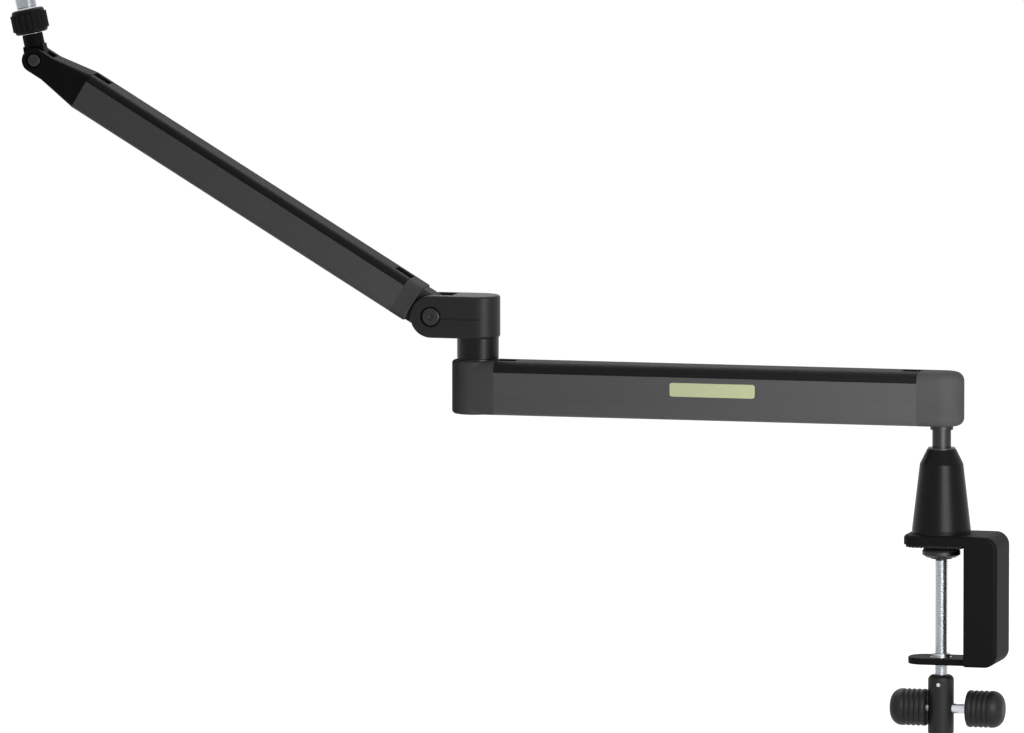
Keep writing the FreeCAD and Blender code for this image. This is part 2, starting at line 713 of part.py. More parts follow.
def build_lower_arm():
    spigot_radius, spigot_length, collar, collar_lip = 6, 20, 3, 1.6
    turned(
        "base_post",
        (0, d.post_foot),
        (POST_RADIUS, d.post_foot),
        (POST_RADIUS, d.arm_foot - collar),
        (POST_RADIUS + collar_lip, d.arm_foot - collar),
        (POST_RADIUS + collar_lip, d.arm_foot),
        (spigot_radius, d.arm_foot),
        (spigot_radius, d.arm_foot + spigot_length),
        (0, d.arm_foot + spigot_length),
    )
    screw_inset = d.tongue_length / 2
    base_joint, elbow_joint = -d.cap_length, ELBOW_X + d.cap_length

    base = new_body("lower_end_cap_base")
    half_section = sketch_on(base, "YZ")
    tube_half(half_section, ARM_HALF, d.arm_foot, ARM_TOP, d.arm_low_round, d.arm_high_round)
    revolve(base, half_section, angle=180, backwards=True)
    extend_to_channel(base, base_joint, 0, base_joint - d.tongue_length, base_joint + PAST)
    bore = sketch_on(base, "XY", d.arm_foot)
    circle(bore, 0, 0, spigot_radius)
    pocket(base, bore, spigot_length, backwards=True)
    screw_set(base, "Groove", base_joint - screw_inset, **LOWER_SCREWS)

    elbow = new_body("lower_end_cap_elbow")
    drum = sketch_on(elbow, "XY", d.arm_foot)
    circle(drum, ELBOW_X - d.drum_offset, 0, ARM_HALF)
    pad(elbow, drum, d.arm_height)
    round_edges(elbow, d.drum_round, lambda e: lies_at(e, z=d.arm_foot) or lies_at(e, z=ARM_TOP))
    extend_to_channel(elbow, ELBOW_X - d.drum_offset, elbow_joint, elbow_joint - PAST,
                      elbow_joint + d.tongue_length)
    bush_radius, bush_bore = d.elbow_bush_dia / 2, d.elbow_bolt_dia / 2 + d.run_gap
    recess_top = d.arm_foot + d.recess_depth
    bores = sketch_on(elbow, "XY", d.arm_foot)
    circle(bores, ELBOW_X, 0, bush_radius)
    pocket(elbow, bores, d.arm_height, backwards=True)
    recess = sketch_on(elbow, "XY", d.arm_foot)
    circle(recess, ELBOW_X, 0, d.recess_dia / 2)
    pocket(elbow, recess, d.recess_depth, backwards=True)
    screw_set(elbow, "Groove", elbow_joint + screw_inset, **LOWER_SCREWS)

    beam = channel("lower_arm_beam", ARM_HALF, d.arm_foot, ARM_SEAM, d.arm_wall, d.arm_low_round,
                   elbow_joint, base_joint)
    screw_span = base_joint - elbow_joint - screw_inset * 2
    screw_set(beam, "Groove", elbow_joint + screw_inset, screw_span, **LOWER_SCREWS)
    screws = new_body("lower_arm_screws")
    screw_set(screws, "Revolution", elbow_joint + screw_inset, screw_span, **LOWER_SCREWS)

    seam_gap, end_gap = 0.3, 0.3
    cable_cover("lower_cable_cover", ARM_HALF, ARM_SEAM + seam_gap, ARM_TOP, d.arm_high_round, d.arm_wall,
                elbow_joint + end_gap, base_joint - end_gap)

    flange_radius, flange_top = 13, ARM_TOP + d.thrust_gap - d.run_gap
    bush = turned(
        "elbow_bush",
        (bush_bore, recess_top),
        (bush_radius, recess_top),
        (bush_radius, ARM_TOP),
        (flange_radius, ARM_TOP),
        (flange_radius, flange_top),
        (bush_bore, flange_top),
    )
    place(bush, x=ELBOW_X)
    plug_thick = 2
    plug = turned(
        "elbow_plug",
        (0, d.arm_foot),
        (d.recess_dia / 2, d.arm_foot),
        (d.recess_dia / 2, d.arm_foot + plug_thick),
        (0, d.arm_foot + plug_thick),
    )
    place(plug, x=ELBOW_X)


def build_elbow():
    bolt_radius, head_radius, head_lift, head_height = d.elbow_bolt_dia / 2, 9, 2.6, 4.4
    head_foot = d.arm_foot + head_lift
    head_top = head_foot + head_height
    bolt_top = BRACKET_FOOT + d.bolt_grip
    bolt = turned(
        "elbow_bolt",
        (0, head_foot),
        (head_radius, head_foot),
        (head_radius, head_top),
        (bolt_radius, head_top),
        (bolt_radius, bolt_top),
        (0, bolt_top),
    )
    place(bolt, x=ELBOW_X)

    washers = new_body("elbow_spring_washers")
    sketch = sketch_on(washers, "XZ")
    bore, rim, thick, dish, slack = bolt_radius + 0.3, 10.5, 1.2, 1.0, 0.05
    low, high = head_top + slack, head_top + dish + thick + slack * 2
    outline(sketch, (bore, low), (rim, low + dish), (rim, low + dish + thick), (bore, low + thick))
    outline(sketch, (bore, high + dish), (rim, high), (rim, high + thick), (bore, high + dish + thick))
    revolve(washers, sketch)
    place(washers, x=ELBOW_X)

    column_foot, column_round = ARM_TOP + d.thrust_gap, 0.8
    column = turned(
        "elbow_column",
        (bolt_radius, column_foot),
        (d.column_dia / 2, column_foot),
        (d.column_dia / 2, BRACKET_FOOT),
        (bolt_radius, BRACKET_FOOT),
    )
    round_edges(column, column_round, lambda e: lies_at(e, z=column_foot)
                and e.BoundBox.XMax > bolt_radius.value + PAST)
    place(column, x=ELBOW_X)

    bracket = new_body("elbow_bracket")
    half_height, half_width = d.bracket_height / 2, d.bracket_width / 2
    rim_round, slot_gap, thread_gap = 2, 0.6, 1
    sketch = sketch_on(bracket, "XZ")
    outline(
        sketch,
        (-d.tilt_offset, -half_height, half_height),
        (half_width, -half_height),
        (half_width, half_height),
        (-d.tilt_offset, half_height),
        (-d.tilt_offset - half_height, 0, half_height),
    )
    pad(bracket, sketch, d.bracket_width, symmetric=True)
    beyond = half_width + PAST
    plan = sketch_on(bracket, "XY")
    outline(
        plan,
        (0, -beyond),
        (beyond, -beyond),
        (beyond, beyond),
        (0, beyond),
        (0, half_width),
        (half_width, 0, -half_width),
        (0, -half_width, -half_width),
    )
    pocket(bracket, plan, d.bracket_height * 2, symmetric=True)

    def on_rim(edge):
        """The outline of a side face, or the top or bottom edge of the round end."""
        if lies_at(edge, x=0):
            return False
        if lies_at(edge, y=half_width) or lies_at(edge, y=-half_width):
            return True
        curved = edge.BoundBox.XMax > 0 and edge.BoundBox.YLength > PAST
        return curved and (lies_at(edge, z=half_height) or lies_at(edge, z=-half_height))

    round_edges(bracket, rim_round, on_rim)
    slot_floor = -d.tilt_offset + d.upper_height / 2 + slot_gap
    slot = sketch_on(bracket, "XY")
    rectangle(slot, -d.tilt_offset * 2, slot_floor, -d.tilt_slot / 2, d.tilt_slot / 2)
    pocket(bracket, slot, d.bracket_height * 2, symmetric=True)
    bolt_bore = sketch_on(bracket, "XZ")
    circle(bolt_bore, -d.tilt_offset, 0, d.tilt_bolt_dia / 2)
    pocket(bracket, bolt_bore, d.bracket_width * 2, symmetric=True)
    counterbore_depth, counterbore_radius = 3.8, 8
    for side in (1, -1):
        counterbore = sketch_on(bracket, "XZ", half_width * side)
        circle(counterbore, -d.tilt_offset, 0, counterbore_radius)
        pocket(bracket, counterbore, counterbore_depth, backwards=side < 0)
    seam_foot, seam_top, seam_end, seam_depth = -2.0, -0.4, 6, 1.2
    for side in (1, -1):
        seam = sketch_on(bracket, "XZ", half_width * side)
        rectangle(seam, -d.tilt_offset, seam_end, seam_foot, seam_top)
        pocket(bracket, seam, seam_depth, backwards=side < 0)
    thread = sketch_on(bracket, "XY", -half_height)
    circle(thread, 0, 0, bolt_radius)
    pocket(bracket, thread, d.bolt_grip + thread_gap, backwards=True)
    place(bracket, x=ELBOW_X, z=TILT_Z)

    tilt_radius, tilt_head, nut_corner, washer_rim = d.tilt_bolt_dia / 2, 7, 7.5, 11
    hinge_bolt("tilt_bolt", half_width, counterbore_depth, tilt_radius, tilt_head, TILT_X, TILT_Z)
    hinge_nut("tilt_nut", half_width, counterbore_depth, tilt_radius, nut_corner, TILT_X, TILT_Z)
    hinge_washers("tilt_washers", d.tilt_slot / 2, tilt_radius, washer_rim, TILT_X, TILT_Z)


def hinge_bolt(label, half_width, counterbore, radius, head_radius, x, z):
    """A hinge bolt along Y whose head sits in the counterbore of the near ear."""
    head_inset, tail_inset, head_round = 0.3, 0.6, 0.8
    head_end, head_seat = -half_width + head_inset, -half_width + counterbore
    tail = half_width - tail_inset
    bolt = turned(
        label,
        (0, head_end),
        (head_radius, head_end),
        (head_radius, head_seat),
        (radius, head_seat),
        (radius, tail),
        (0, tail),
    )
    round_edges(bolt, head_round, lambda e: lies_at(e, z=head_end))
    place(bolt, x=x, z=z, axis=Vector(1, 0, 0), angle=-90)


def hinge_nut(label, half_width, counterbore, radius, corner_radius, x, z):
    """The hexagon nut in the counterbore of the far ear."""
    nut, nut_inset = new_body(label), 0.8
    sketch = sketch_on(nut, "XY", half_width - counterbore)
    corners = [(corner_radius * math.cos(k * math.pi / 3), corner_radius * math.sin(k * math.pi / 3))
               for k in range(6)]
    outline(sketch, *corners)
    circle(sketch, 0, 0, radius)
    pad(nut, sketch, counterbore - nut_inset)
    place(nut, x=x, z=z, axis=Vector(1, 0, 0), angle=-90)


def hinge_washers(label, slot_half, bore, rim, x, z, slack=0.05):
    """Two friction washers inside the ears of a hinge."""
    washers = new_body(label)
    sketch = sketch_on(washers, "XZ")
    outer = slot_half - slack
    inner = outer - d.washer_thick
    rectangle(sketch, bore, rim, inner, outer)
    rectangle(sketch, bore, rim, -outer, -inner)
    revolve(washers, sketch)
    place(washers, x=x, z=z, axis=Vector(1, 0, 0), angle=-90)


def place_on_upper_arm(body):
    place(body, x=TILT_X, z=TILT_Z, angle=d.tilt_rest)


def build_upper_arm():
    tongue_half = d.tilt_slot / 2 - d.washer_thick - SIDE_GAP
    bush_radius, bolt_bore = 6, d.tilt_bolt_dia / 2 + d.run_gap
    plug_half, plug_foot = UPPER_HALF - d.upper_round, -UPPER_TOP + d.upper_wall
    plug_top = plug_foot + d.upper_plug
    tongue_radius, tongue_end = UPPER_TOP - PAST, -d.upper_root - PAST
    screw_inset = d.tongue_length / 2

    root = new_body("upper_root_knuckle")
    section = sketch_on(root, "YZ", -d.upper_joint)
    tube_section(section, UPPER_HALF, -UPPER_TOP, UPPER_TOP, d.upper_round, d.upper_round)
    pad(root, section, d.upper_joint - d.upper_root)
    round_edges(root, d.edge, lambda e: lies_at(e, x=-d.upper_root))
    tongue = sketch_on(root, "XZ")
    outline(
        tongue,
        (tongue_end, -tongue_radius),
        (0, -tongue_radius),
        (tongue_radius, 0, tongue_radius),
        (0, tongue_radius, tongue_radius),
        (tongue_end, tongue_radius),
    )
    pad(root, tongue, tongue_half * 2, symmetric=True)
    plug = sketch_on(root, "YZ", -d.upper_joint - d.tongue_length)
    rectangle(plug, -plug_half, plug_half, plug_foot, plug_top)
    pad(root, plug, d.tongue_length + PAST)
    bore = sketch_on(root, "XZ")
    circle(bore, 0, 0, bush_radius)
    pocket(root, bore, d.upper_width * 2, symmetric=True)
    screw_set(root, "Groove", -d.upper_joint - screw_inset, **UPPER_SCREWS)
    place_on_upper_arm(root)

    bush = turned(
        "tilt_bush",
        (bolt_bore, -tongue_half),
        (bush_radius, -tongue_half),
        (bush_radius, tongue_half),
        (bolt_bore, tongue_half),
    )
    place(bush, x=TILT_X, z=TILT_Z, axis=Vector(1, 0, 0), angle=-90)

    beam = channel("upper_arm_beam", UPPER_HALF, -UPPER_TOP, UPPER_SEAM, d.upper_wall, d.upper_round,
                   NOSE_START, -d.upper_joint)
    screw_span = -d.upper_joint - NOSE_START - screw_inset * 2
    screw_set(beam, "Groove", NOSE_START + screw_inset, screw_span, **UPPER_SCREWS)
    place_on_upper_arm(beam)
    screws = new_body("upper_arm_screws")
    screw_set(screws, "Revolution", NOSE_START + screw_inset, screw_span, **UPPER_SCREWS)
    place_on_upper_arm(screws)

    seam_gap, end_gap = 0.3, 0.3
    cover = cable_cover("upper_cable_cover", UPPER_HALF, UPPER_SEAM + seam_gap, UPPER_TOP, d.upper_round,
                        d.upper_wall, NOSE_START + end_gap, -d.upper_joint - end_gap)
    place_on_upper_arm(cover)

    nose = new_body("upper_nose")
    fork_half, fork_radius = d.nose_width / 2, d.nose_dia / 2
    fork_floor = 2
    fork_start = -d.upper_reach + fork_radius + fork_floor
    wide = sketch_on(nose, "YZ", NOSE_START)
    tube_section(wide, UPPER_HALF, -UPPER_TOP, UPPER_TOP, d.upper_round, d.upper_round)
    narrow = sketch_on(nose, "YZ", fork_start)
    tube_section(narrow, fork_half, -fork_radius, fork_radius, d.edge, d.edge)
    loft = nose.newObject("PartDesign::AdditiveLoft", "nose_loft")
    loft.Profile = wide
    loft.Sections = [narrow]
    doc.recompute()
    fork = sketch_on(nose, "XZ")
    outline(
        fork,
        (-d.upper_reach, -fork_radius, fork_radius),
        (fork_start + PAST, -fork_radius),
        (fork_start + PAST, fork_radius),
        (-d.upper_reach, fork_radius),
        (-d.upper_reach - fork_radius, 0, fork_radius),
    )
    pad(nose, fork, d.nose_width, symmetric=True)
    slot = sketch_on(nose, "XY")
    rectangle(slot, -d.upper_reach - fork_radius * 2, fork_start, -d.tip_slot / 2, d.tip_slot / 2)
    pocket(nose, slot, d.upper_height * 2, symmetric=True)
    plug = sketch_on(nose, "YZ", NOSE_START - PAST)
    rectangle(plug, -plug_half, plug_half, plug_foot, plug_top)
    pad(nose, plug, d.tongue_length + PAST)
    bolt_hole = sketch_on(nose, "XZ")
    circle(bolt_hole, -d.upper_reach, 0, d.tip_bolt_dia / 2)
    pocket(nose, bolt_hole, d.nose_width * 2, symmetric=True)
    counterbore_depth, counterbore_radius = 2.8, 6
    for side in (1, -1):
        counterbore = sketch_on(nose, "XZ", fork_half * side)
        circle(counterbore, -d.upper_reach, 0, counterbore_radius)
        pocket(nose, counterbore, counterbore_depth, backwards=side < 0)
    screw_set(nose, "Groove", NOSE_START + screw_inset, **UPPER_SCREWS)
    place_on_upper_arm(nose)

    bolt_radius, head_radius, nut_corner = d.tip_bolt_dia / 2, 5.2, 5.6
    hinge_bolt("tip_bolt", fork_half, counterbore_depth, bolt_radius, head_radius, TIP_X, TIP_Z)
    hinge_nut("tip_nut", fork_half, counterbore_depth, bolt_radius, nut_corner, TIP_X, TIP_Z)


def build_mic_head():
    bolt_bore = d.tip_bolt_dia / 2 + d.run_gap
    tongue_half = d.tip_slot / 2 - d.washer_thick - SIDE_GAP
    tongue_inset, neck_gap, spigot_radius, spigot_length = 0.8, 1, 5, 6
    tongue_radius = d.nose_dia / 2 - tongue_inset
    neck_radius, neck_foot = d.neck_dia / 2, d.nose_dia / 2 + neck_gap
    spigot_foot = d.neck_top - spigot_length

    knuckle = new_body("mic_knuckle")
    tongue = sketch_on(knuckle, "XZ")
    outline(
        tongue,
        (-tongue_radius, 0),
        (0, -tongue_radius, tongue_radius),
        (tongue_radius, 0, tongue_radius),
        (neck_radius, neck_foot + PAST),
        (-neck_radius, neck_foot + PAST),
    )
    pad(knuckle, tongue, tongue_half * 2, symmetric=True)
    neck = sketch_on(knuckle, "XY", neck_foot)
    circle(neck, 0, 0, neck_radius)
    pad(knuckle, neck, d.neck_top - neck_foot)
    round_edges(knuckle, d.edge, lambda e: lies_at(e, z=d.neck_top))
    bore = sketch_on(knuckle, "XZ")
    circle(bore, 0, 0, bolt_bore)
    pocket(knuckle, bore, d.nose_width * 2, symmetric=True)
    socket = sketch_on(knuckle, "XY", d.neck_top)
    circle(socket, 0, 0, spigot_radius)
    pocket(knuckle, socket, d.neck_top - spigot_foot)

    ring_gap, rim_inset, rim_round, foot_rim, top_rim = 0.3, 1.4, 2.4, 2.8, 3.2
    ring_foot, ring_radius, ring_bore = d.neck_top + ring_gap, d.ring_dia / 2, d.stud_dia / 2 + d.run_gap
    ring_top = ring_foot + d.ring_height
    band_foot, band_top = ring_foot + foot_rim, ring_top - top_rim
    rim_radius = ring_radius - rim_inset
    stud_radius, chamfer, undercut = d.stud_dia / 2, 1, 0.7
    undercut_foot, undercut_top = ring_top - 0.2, ring_top + 1
    stud = turned(
        "mic_stud",
        (0, spigot_foot),
        (spigot_radius, spigot_foot),
        (spigot_radius, d.neck_top),
        (stud_radius, d.neck_top),
        (stud_radius, undercut_foot),
        (stud_radius - undercut, undercut_foot),
        (stud_radius - undercut, undercut_top),
        (stud_radius, undercut_top),
        (stud_radius, d.stud_top - chamfer),
        (stud_radius - chamfer, d.stud_top),
        (0, d.stud_top),
    )

    ring = turned(
        "mic_lock_ring",
        (ring_bore, ring_foot),
        (rim_radius - rim_round, ring_foot),
        (rim_radius, ring_foot + rim_round, rim_round),
        (rim_radius, band_foot),
        (ring_radius, band_foot),
        (ring_radius, band_top),
        (rim_radius, band_top),
        (rim_radius, ring_top - rim_round),
        (rim_radius - rim_round, ring_top, rim_round),
        (ring_bore, ring_top),
    )
    flute_radius, flute_depth = 2.2, 1.0
    flute = sketch_on(ring, "XY", band_top)
    circle(flute, ring_radius + flute_radius - flute_depth, 0, flute_radius)
    cut = pocket(ring, flute, band_top - band_foot)
    pattern(ring, "PolarPattern", cut, d.flute_count, Axis=origin_axis(ring, "Z"), Angle=360)

    for body in (knuckle, stud, ring):
        place(body, x=TIP_X, z=TIP_Z, angle=-d.head_lean)
    washer_rim = 8.2
    hinge_washers("tip_washers", d.tip_slot / 2, bolt_bore, washer_rim, TIP_X, TIP_Z)


def check_document():
    """Stop if a feature failed or a sub-part has no valid solid."""
    doc.recompute()
    for item in doc.Objects:
        if {"Invalid", "Error"} & set(item.State):
            raise RuntimeError(f"{item.Label} failed: {item.State}")
    bodies = [item for item in doc.Objects if item.TypeId == "PartDesign::Body"]
    for body in bodies:
        if body.Shape.isNull() or not body.Shape.isValid() or not body.Shape.Solids:
            raise RuntimeError(f"{body.Label} has no valid solid")
    return bodies


def export(bodies):
    os.makedirs("parts", exist_ok=True)
    for body in bodies:
        body.Shape.exportStep(f"parts/{body.Label}.step")
        box = body.Shape.BoundBox
        reach = [round(value, 2) for value in (box.XMin, box.XMax, box.YMin, box.YMax, box.ZMin, box.ZMax)]
        print(f"{body.Label}: {len(body.Shape.Solids)} solid, {body.Shape.Volume:.0f} mm3, {reach}")


build_clamp()
build_riser()
build_clamp_screw()
build_tommy_bar()
build_lower_arm()
build_elbow()
build_upper_arm()
build_mic_head()
export(check_document())
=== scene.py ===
"""Looks of a low-profile microphone boom arm with a desk clamp.

The arm comes as a fixed frame of solids in metres: the origin lies on the axis of the post and the clamp
screw, on the underside of the jaw pad, +Z is up and the lower arm points along -X.
"""
import json
import math

import bmesh
import bpy
from bpy.props import FloatProperty, FloatVectorProperty, IntProperty, PointerProperty
from mathutils import Matrix, Vector


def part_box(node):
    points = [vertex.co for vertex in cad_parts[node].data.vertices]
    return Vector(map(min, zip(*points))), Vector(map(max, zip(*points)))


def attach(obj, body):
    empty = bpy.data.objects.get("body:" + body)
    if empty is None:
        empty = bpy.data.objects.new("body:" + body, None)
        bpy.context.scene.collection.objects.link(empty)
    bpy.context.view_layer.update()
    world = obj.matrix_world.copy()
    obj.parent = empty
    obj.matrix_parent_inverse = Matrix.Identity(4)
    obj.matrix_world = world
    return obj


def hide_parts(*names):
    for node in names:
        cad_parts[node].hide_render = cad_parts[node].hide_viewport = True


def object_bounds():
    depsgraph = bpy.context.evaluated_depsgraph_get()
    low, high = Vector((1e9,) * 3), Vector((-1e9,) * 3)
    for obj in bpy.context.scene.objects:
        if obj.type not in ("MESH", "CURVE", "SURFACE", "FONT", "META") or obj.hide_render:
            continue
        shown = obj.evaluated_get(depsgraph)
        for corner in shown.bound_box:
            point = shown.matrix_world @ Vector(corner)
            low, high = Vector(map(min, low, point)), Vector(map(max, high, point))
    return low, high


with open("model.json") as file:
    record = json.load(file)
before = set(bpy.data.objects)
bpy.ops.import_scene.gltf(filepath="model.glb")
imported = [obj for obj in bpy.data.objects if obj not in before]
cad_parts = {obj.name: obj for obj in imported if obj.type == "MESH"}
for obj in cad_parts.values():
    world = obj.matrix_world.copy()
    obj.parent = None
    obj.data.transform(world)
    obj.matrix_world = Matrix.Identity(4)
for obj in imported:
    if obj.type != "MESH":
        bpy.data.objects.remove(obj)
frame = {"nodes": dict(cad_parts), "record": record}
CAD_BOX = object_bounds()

bl_info = {
    "name": "Microphone Boom Arm",
    "version": (1, 0, 0),
    "blender": (4, 5, 0),
    "location": "3D View > Sidebar > Boom Arm",
    "description": "Finishes, fasteners and studio of a desk-clamp microphone boom arm",
    "category": "Object",
}

MM = 0.001
BODY = {node: body for body, nodes in frame["record"]["behaviour"]["bodies"].items() for node in nodes}
# At rest the upper arm rises from the level, and the microphone head leans from the upright.
UPPER_RISE = math.radians(31)
HEAD_LEAN = math.radians(12)
# Edges of the added pieces that turn by more than this stay sharp.
SHARP_EDGE = math.radians(32)


def hinge_axis(bolt):
    """Where a hinge bolt crosses the arm's middle plane."""
    low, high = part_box(bolt)
    return Vector((low.x + high.x, 0, low.z + high.z)) / 2


TILT_AXIS, TIP_AXIS = hinge_axis("tilt_bolt"), hinge_axis("tip_bolt")


def linear(hex_colour):
    """Linear red, green and blue of an sRGB hex colour."""
    levels = [int(hex_colour[i:i + 2], 16) / 255 for i in (1, 3, 5)]
    return tuple(c / 12.92 if c <= 0.04045 else ((c + 0.055) / 1.055) ** 2.4 for c in levels)


def colour(name, description, hex_colour):
    """A colour that the user can change."""
    return FloatVectorProperty(name=name, description=description, subtype="COLOR", size=3, min=0, max=1,
                               default=linear(hex_colour))


def length(name, description, millimetres, **limits):
    """A length that the user can change, with its limits in metres."""
    return FloatProperty(name=name, description=description, subtype="DISTANCE", unit="LENGTH",
                         default=millimetres * MM, precision=5, **limits)


class BoomFinishes(bpy.types.PropertyGroup):
    """Colours of the arm's finishes"""
    casting: colour("Castings", "Powder coat of clamp, riser, column, nose and microphone head", "#0a0a0b")
    arm_end: colour("Arm ends", "Powder coat of the lower arm's ends and the upper arm's root", "#4d4d4e")
    elbow: colour("Elbow", "Powder coat of the elbow bracket", "#232324")
    channel: colour("Channels", "Anodised skin of both channels", "#545455")
    cover: colour("Cable covers", "Moulded cable covers", "#191919")
    grip: colour("Grips", "Moulded handle and lock ring", "#19191a")
    rubber: colour("Rubber", "Pads that touch the desk", "#19191a")
    bearing: colour("Bearings", "Plastic bushes, friction washers and plug", "#27272a")
    black_steel: colour("Black steel", "Oxidised fasteners, post and pressure pad", "#363637")
    bright_steel: colour("Bright steel", "Plated screw, cross bar and stud", "#c4c7cb")
    accent: colour("Accent bar", "Plain inlay on the lower arm", "#bec49a")


class BoomDetails(bpy.types.PropertyGroup):
    """Sizes of the details that the finishes add"""
    screw_pitch: length("Screw pitch", "Pitch of the clamp screw's thread", 1.5, min=0.0005, max=0.003)
    stud_pitch: length("Stud pitch", "Pitch of the microphone thread, 27 turns to an inch", 25.4 / 27,
                       min=0.0005, max=0.003)
    rib_pitch: length("Rib pitch", "Spacing of the ribs under the jaw pad", 3.0, min=0.0015, max=0.01)
    rib_depth: length("Rib depth", "Depth of the grooves between the ribs", 0.7, min=0.0001, max=0.0015)
    groove_count: IntProperty(name="Grip grooves", description="Finger grooves round each grip", default=4,
                              min=0, max=5)
    accent_length: length("Accent length", "Length of the inlay on the lower arm", 66, min=0.01, max=0.2)
    accent_height: length("Accent height", "Height of the inlay on the lower arm", 10.5, min=0.002, max=0.012)


class BoomStage(bpy.types.PropertyGroup):
    """Studio round the arm"""
    azimuth: FloatProperty(name="Azimuth", description="Camera's turn to the right of the arm's side",
                           subtype="ANGLE", unit="ROTATION", default=math.radians(14))
    elevation: FloatProperty(name="Elevation", description="Camera's height above the level",
                             subtype="ANGLE", unit="ROTATION", default=math.radians(6))
    distance: length("Distance", "Camera to the middle of the view", 12000, min=0.5)
    view_width: length("View width", "Width of the view at that distance", 775.8, min=0.05)
    floor_drop: length("Floor drop", "Floor below the handle, which hangs 68 mm lower on an opened clamp", 70,
                       min=0)
    backdrop: FloatProperty(name="Backdrop", description="Brightness of the white surround",
                            subtype="FACTOR", default=1.0, min=0, max=1)
    fill: FloatProperty(name="Fill", description="Light of the surround on matt surfaces",
                        subtype="FACTOR", default=0.08, min=0, max=1)
    softbox: FloatProperty(name="Softbox", description="Brightness of the front light", default=13.8, min=0)
    overhead: FloatProperty(name="Overhead", description="Brightness of the light above", default=0.8, min=0)
    back: FloatProperty(name="Back", description="Brightness of the light behind", default=4.0, min=0)


def add_node(tree, kind, inputs=None, **settings):
    """Add a node with its settings. An input is a value, or the socket that feeds it."""
    node = tree.nodes.new(kind)
    for name, value in settings.items():
        setattr(node, name, value)
    for name, value in (inputs or {}).items():
        if isinstance(value, bpy.types.NodeSocket):
            tree.links.new(value, node.inputs[name])
        else:
            node.inputs[name].default_value = value
    return node


def new_material(name):
    """An empty material, its node tree and the place of its surface in millimetres."""
    material = bpy.data.materials.new(name)
    material.use_nodes = True
    tree = material.node_tree
    tree.nodes.clear()
    place = add_node(tree, "ShaderNodeTexCoord").outputs["Object"]
    millimetres = add_node(tree, "ShaderNodeVectorMath", {0: place, "Scale": 1 / MM}, operation="SCALE")
    return material, tree, millimetres.outputs["Vector"]


def shades(tint, *factors):
    """The same tint in several strengths, as opaque colours."""
    return [tuple(min(1, c * f) for c in tint) + (1,) for f in factors]


def powder_coat(name, tint, roughness, reflection):
    """Cast aluminium under powder coat: a fine pebbled skin that scatters every highlight."""
    material, tree, place = new_material(name)
    # The pebbles are about 0.15 mm and are drawn at 0.5 mm, so that they show.
    pebble_size, pebble_height = 0.5, 0.06
    pebble = add_node(tree, "ShaderNodeTexNoise", {"Vector": place, "Scale": 1 / pebble_size, "Detail": 3,
                                                   "Roughness": 0.6})
    # Patches of thicker and thinner coat
    patch_size = 25
    patch = add_node(tree, "ShaderNodeTexNoise", {"Vector": place, "Scale": 1 / patch_size, "Detail": 2})
    thin, thick = shades(tint, 1.25, 0.8)
    skin = add_node(tree, "ShaderNodeMix", {"Factor": patch.outputs["Fac"], "A": thick, "B": thin},
                    data_type="RGBA")
    spread = 0.06
    gloss = add_node(tree, "ShaderNodeMapRange",
                     {"Value": pebble.outputs["Fac"],
                      "To Min": roughness - spread, "To Max": roughness + spread})
    bump = add_node(tree, "ShaderNodeBump", {"Height": pebble.outputs["Fac"], "Strength": 0.35,
                                             "Distance": pebble_height * MM})
    shader = add_node(tree, "ShaderNodeBsdfPrincipled",
                      {"Base Color": skin.outputs["Result"], "Roughness": gloss.outputs["Result"],
                       "IOR": 1.45, "Specular IOR Level": reflection, "Normal": bump.outputs["Normal"]})
    add_node(tree, "ShaderNodeOutputMaterial", {"Surface": shader.outputs["BSDF"]})
    return material


def anodised_aluminium(name, tint, rise):
    """Hard-anodised extrusion: the thick oxide hides the metal, so it is satin grey with faint die lines."""
    material, tree, place = new_material(name)
    along = add_node(tree, "ShaderNodeVectorRotate", {"Vector": place, "Angle": -rise},
                     rotation_type="Y_AXIS")
    # How far apart the die lines stand, and how far one runs on
    line_gap, line_run = 0.6, 150
    stretch = add_node(tree, "ShaderNodeVectorMath",
                       {0: along.outputs["Vector"], 1: (1 / line_run, 1 / line_gap, 1 / line_gap)},
                       operation="MULTIPLY")
    lines = add_node(tree, "ShaderNodeTexNoise",
                     {"Vector": stretch.outputs["Vector"], "Scale": 1, "Detail": 3})
    # The blasted grain is about 0.1 mm and is drawn at 0.35 mm, so that it shows.
    grain_size, relief_height = 0.35, 0.03
    grain = add_node(tree, "ShaderNodeTexNoise", {"Vector": place, "Scale": 1 / grain_size, "Detail": 2})
    dark, light = shades(tint, 0.86, 1.14)
    skin = add_node(tree, "ShaderNodeMix", {"Factor": lines.outputs["Fac"], "A": dark, "B": light},
                    data_type="RGBA")
    gloss = add_node(tree, "ShaderNodeMapRange", {"Value": lines.outputs["Fac"], "To Min": 0.36,
                                                  "To Max": 0.48})
    relief = add_node(tree, "ShaderNodeMath", {0: lines.outputs["Fac"], 1: grain.outputs["Fac"]},
                      operation="ADD")
    bump = add_node(tree, "ShaderNodeBump", {"Height": relief.outputs["Value"], "Strength": 0.18,
                                             "Distance": relief_height * MM})
    shader = add_node(tree, "ShaderNodeBsdfPrincipled",
                      {"Base Color": skin.outputs["Result"], "Roughness": gloss.outputs["Result"],
                       "IOR": 1.6, "Specular IOR Level": 0.1, "Normal": bump.outputs["Normal"]})
    add_node(tree, "ShaderNodeOutputMaterial", {"Surface": shader.outputs["BSDF"]})
    return material


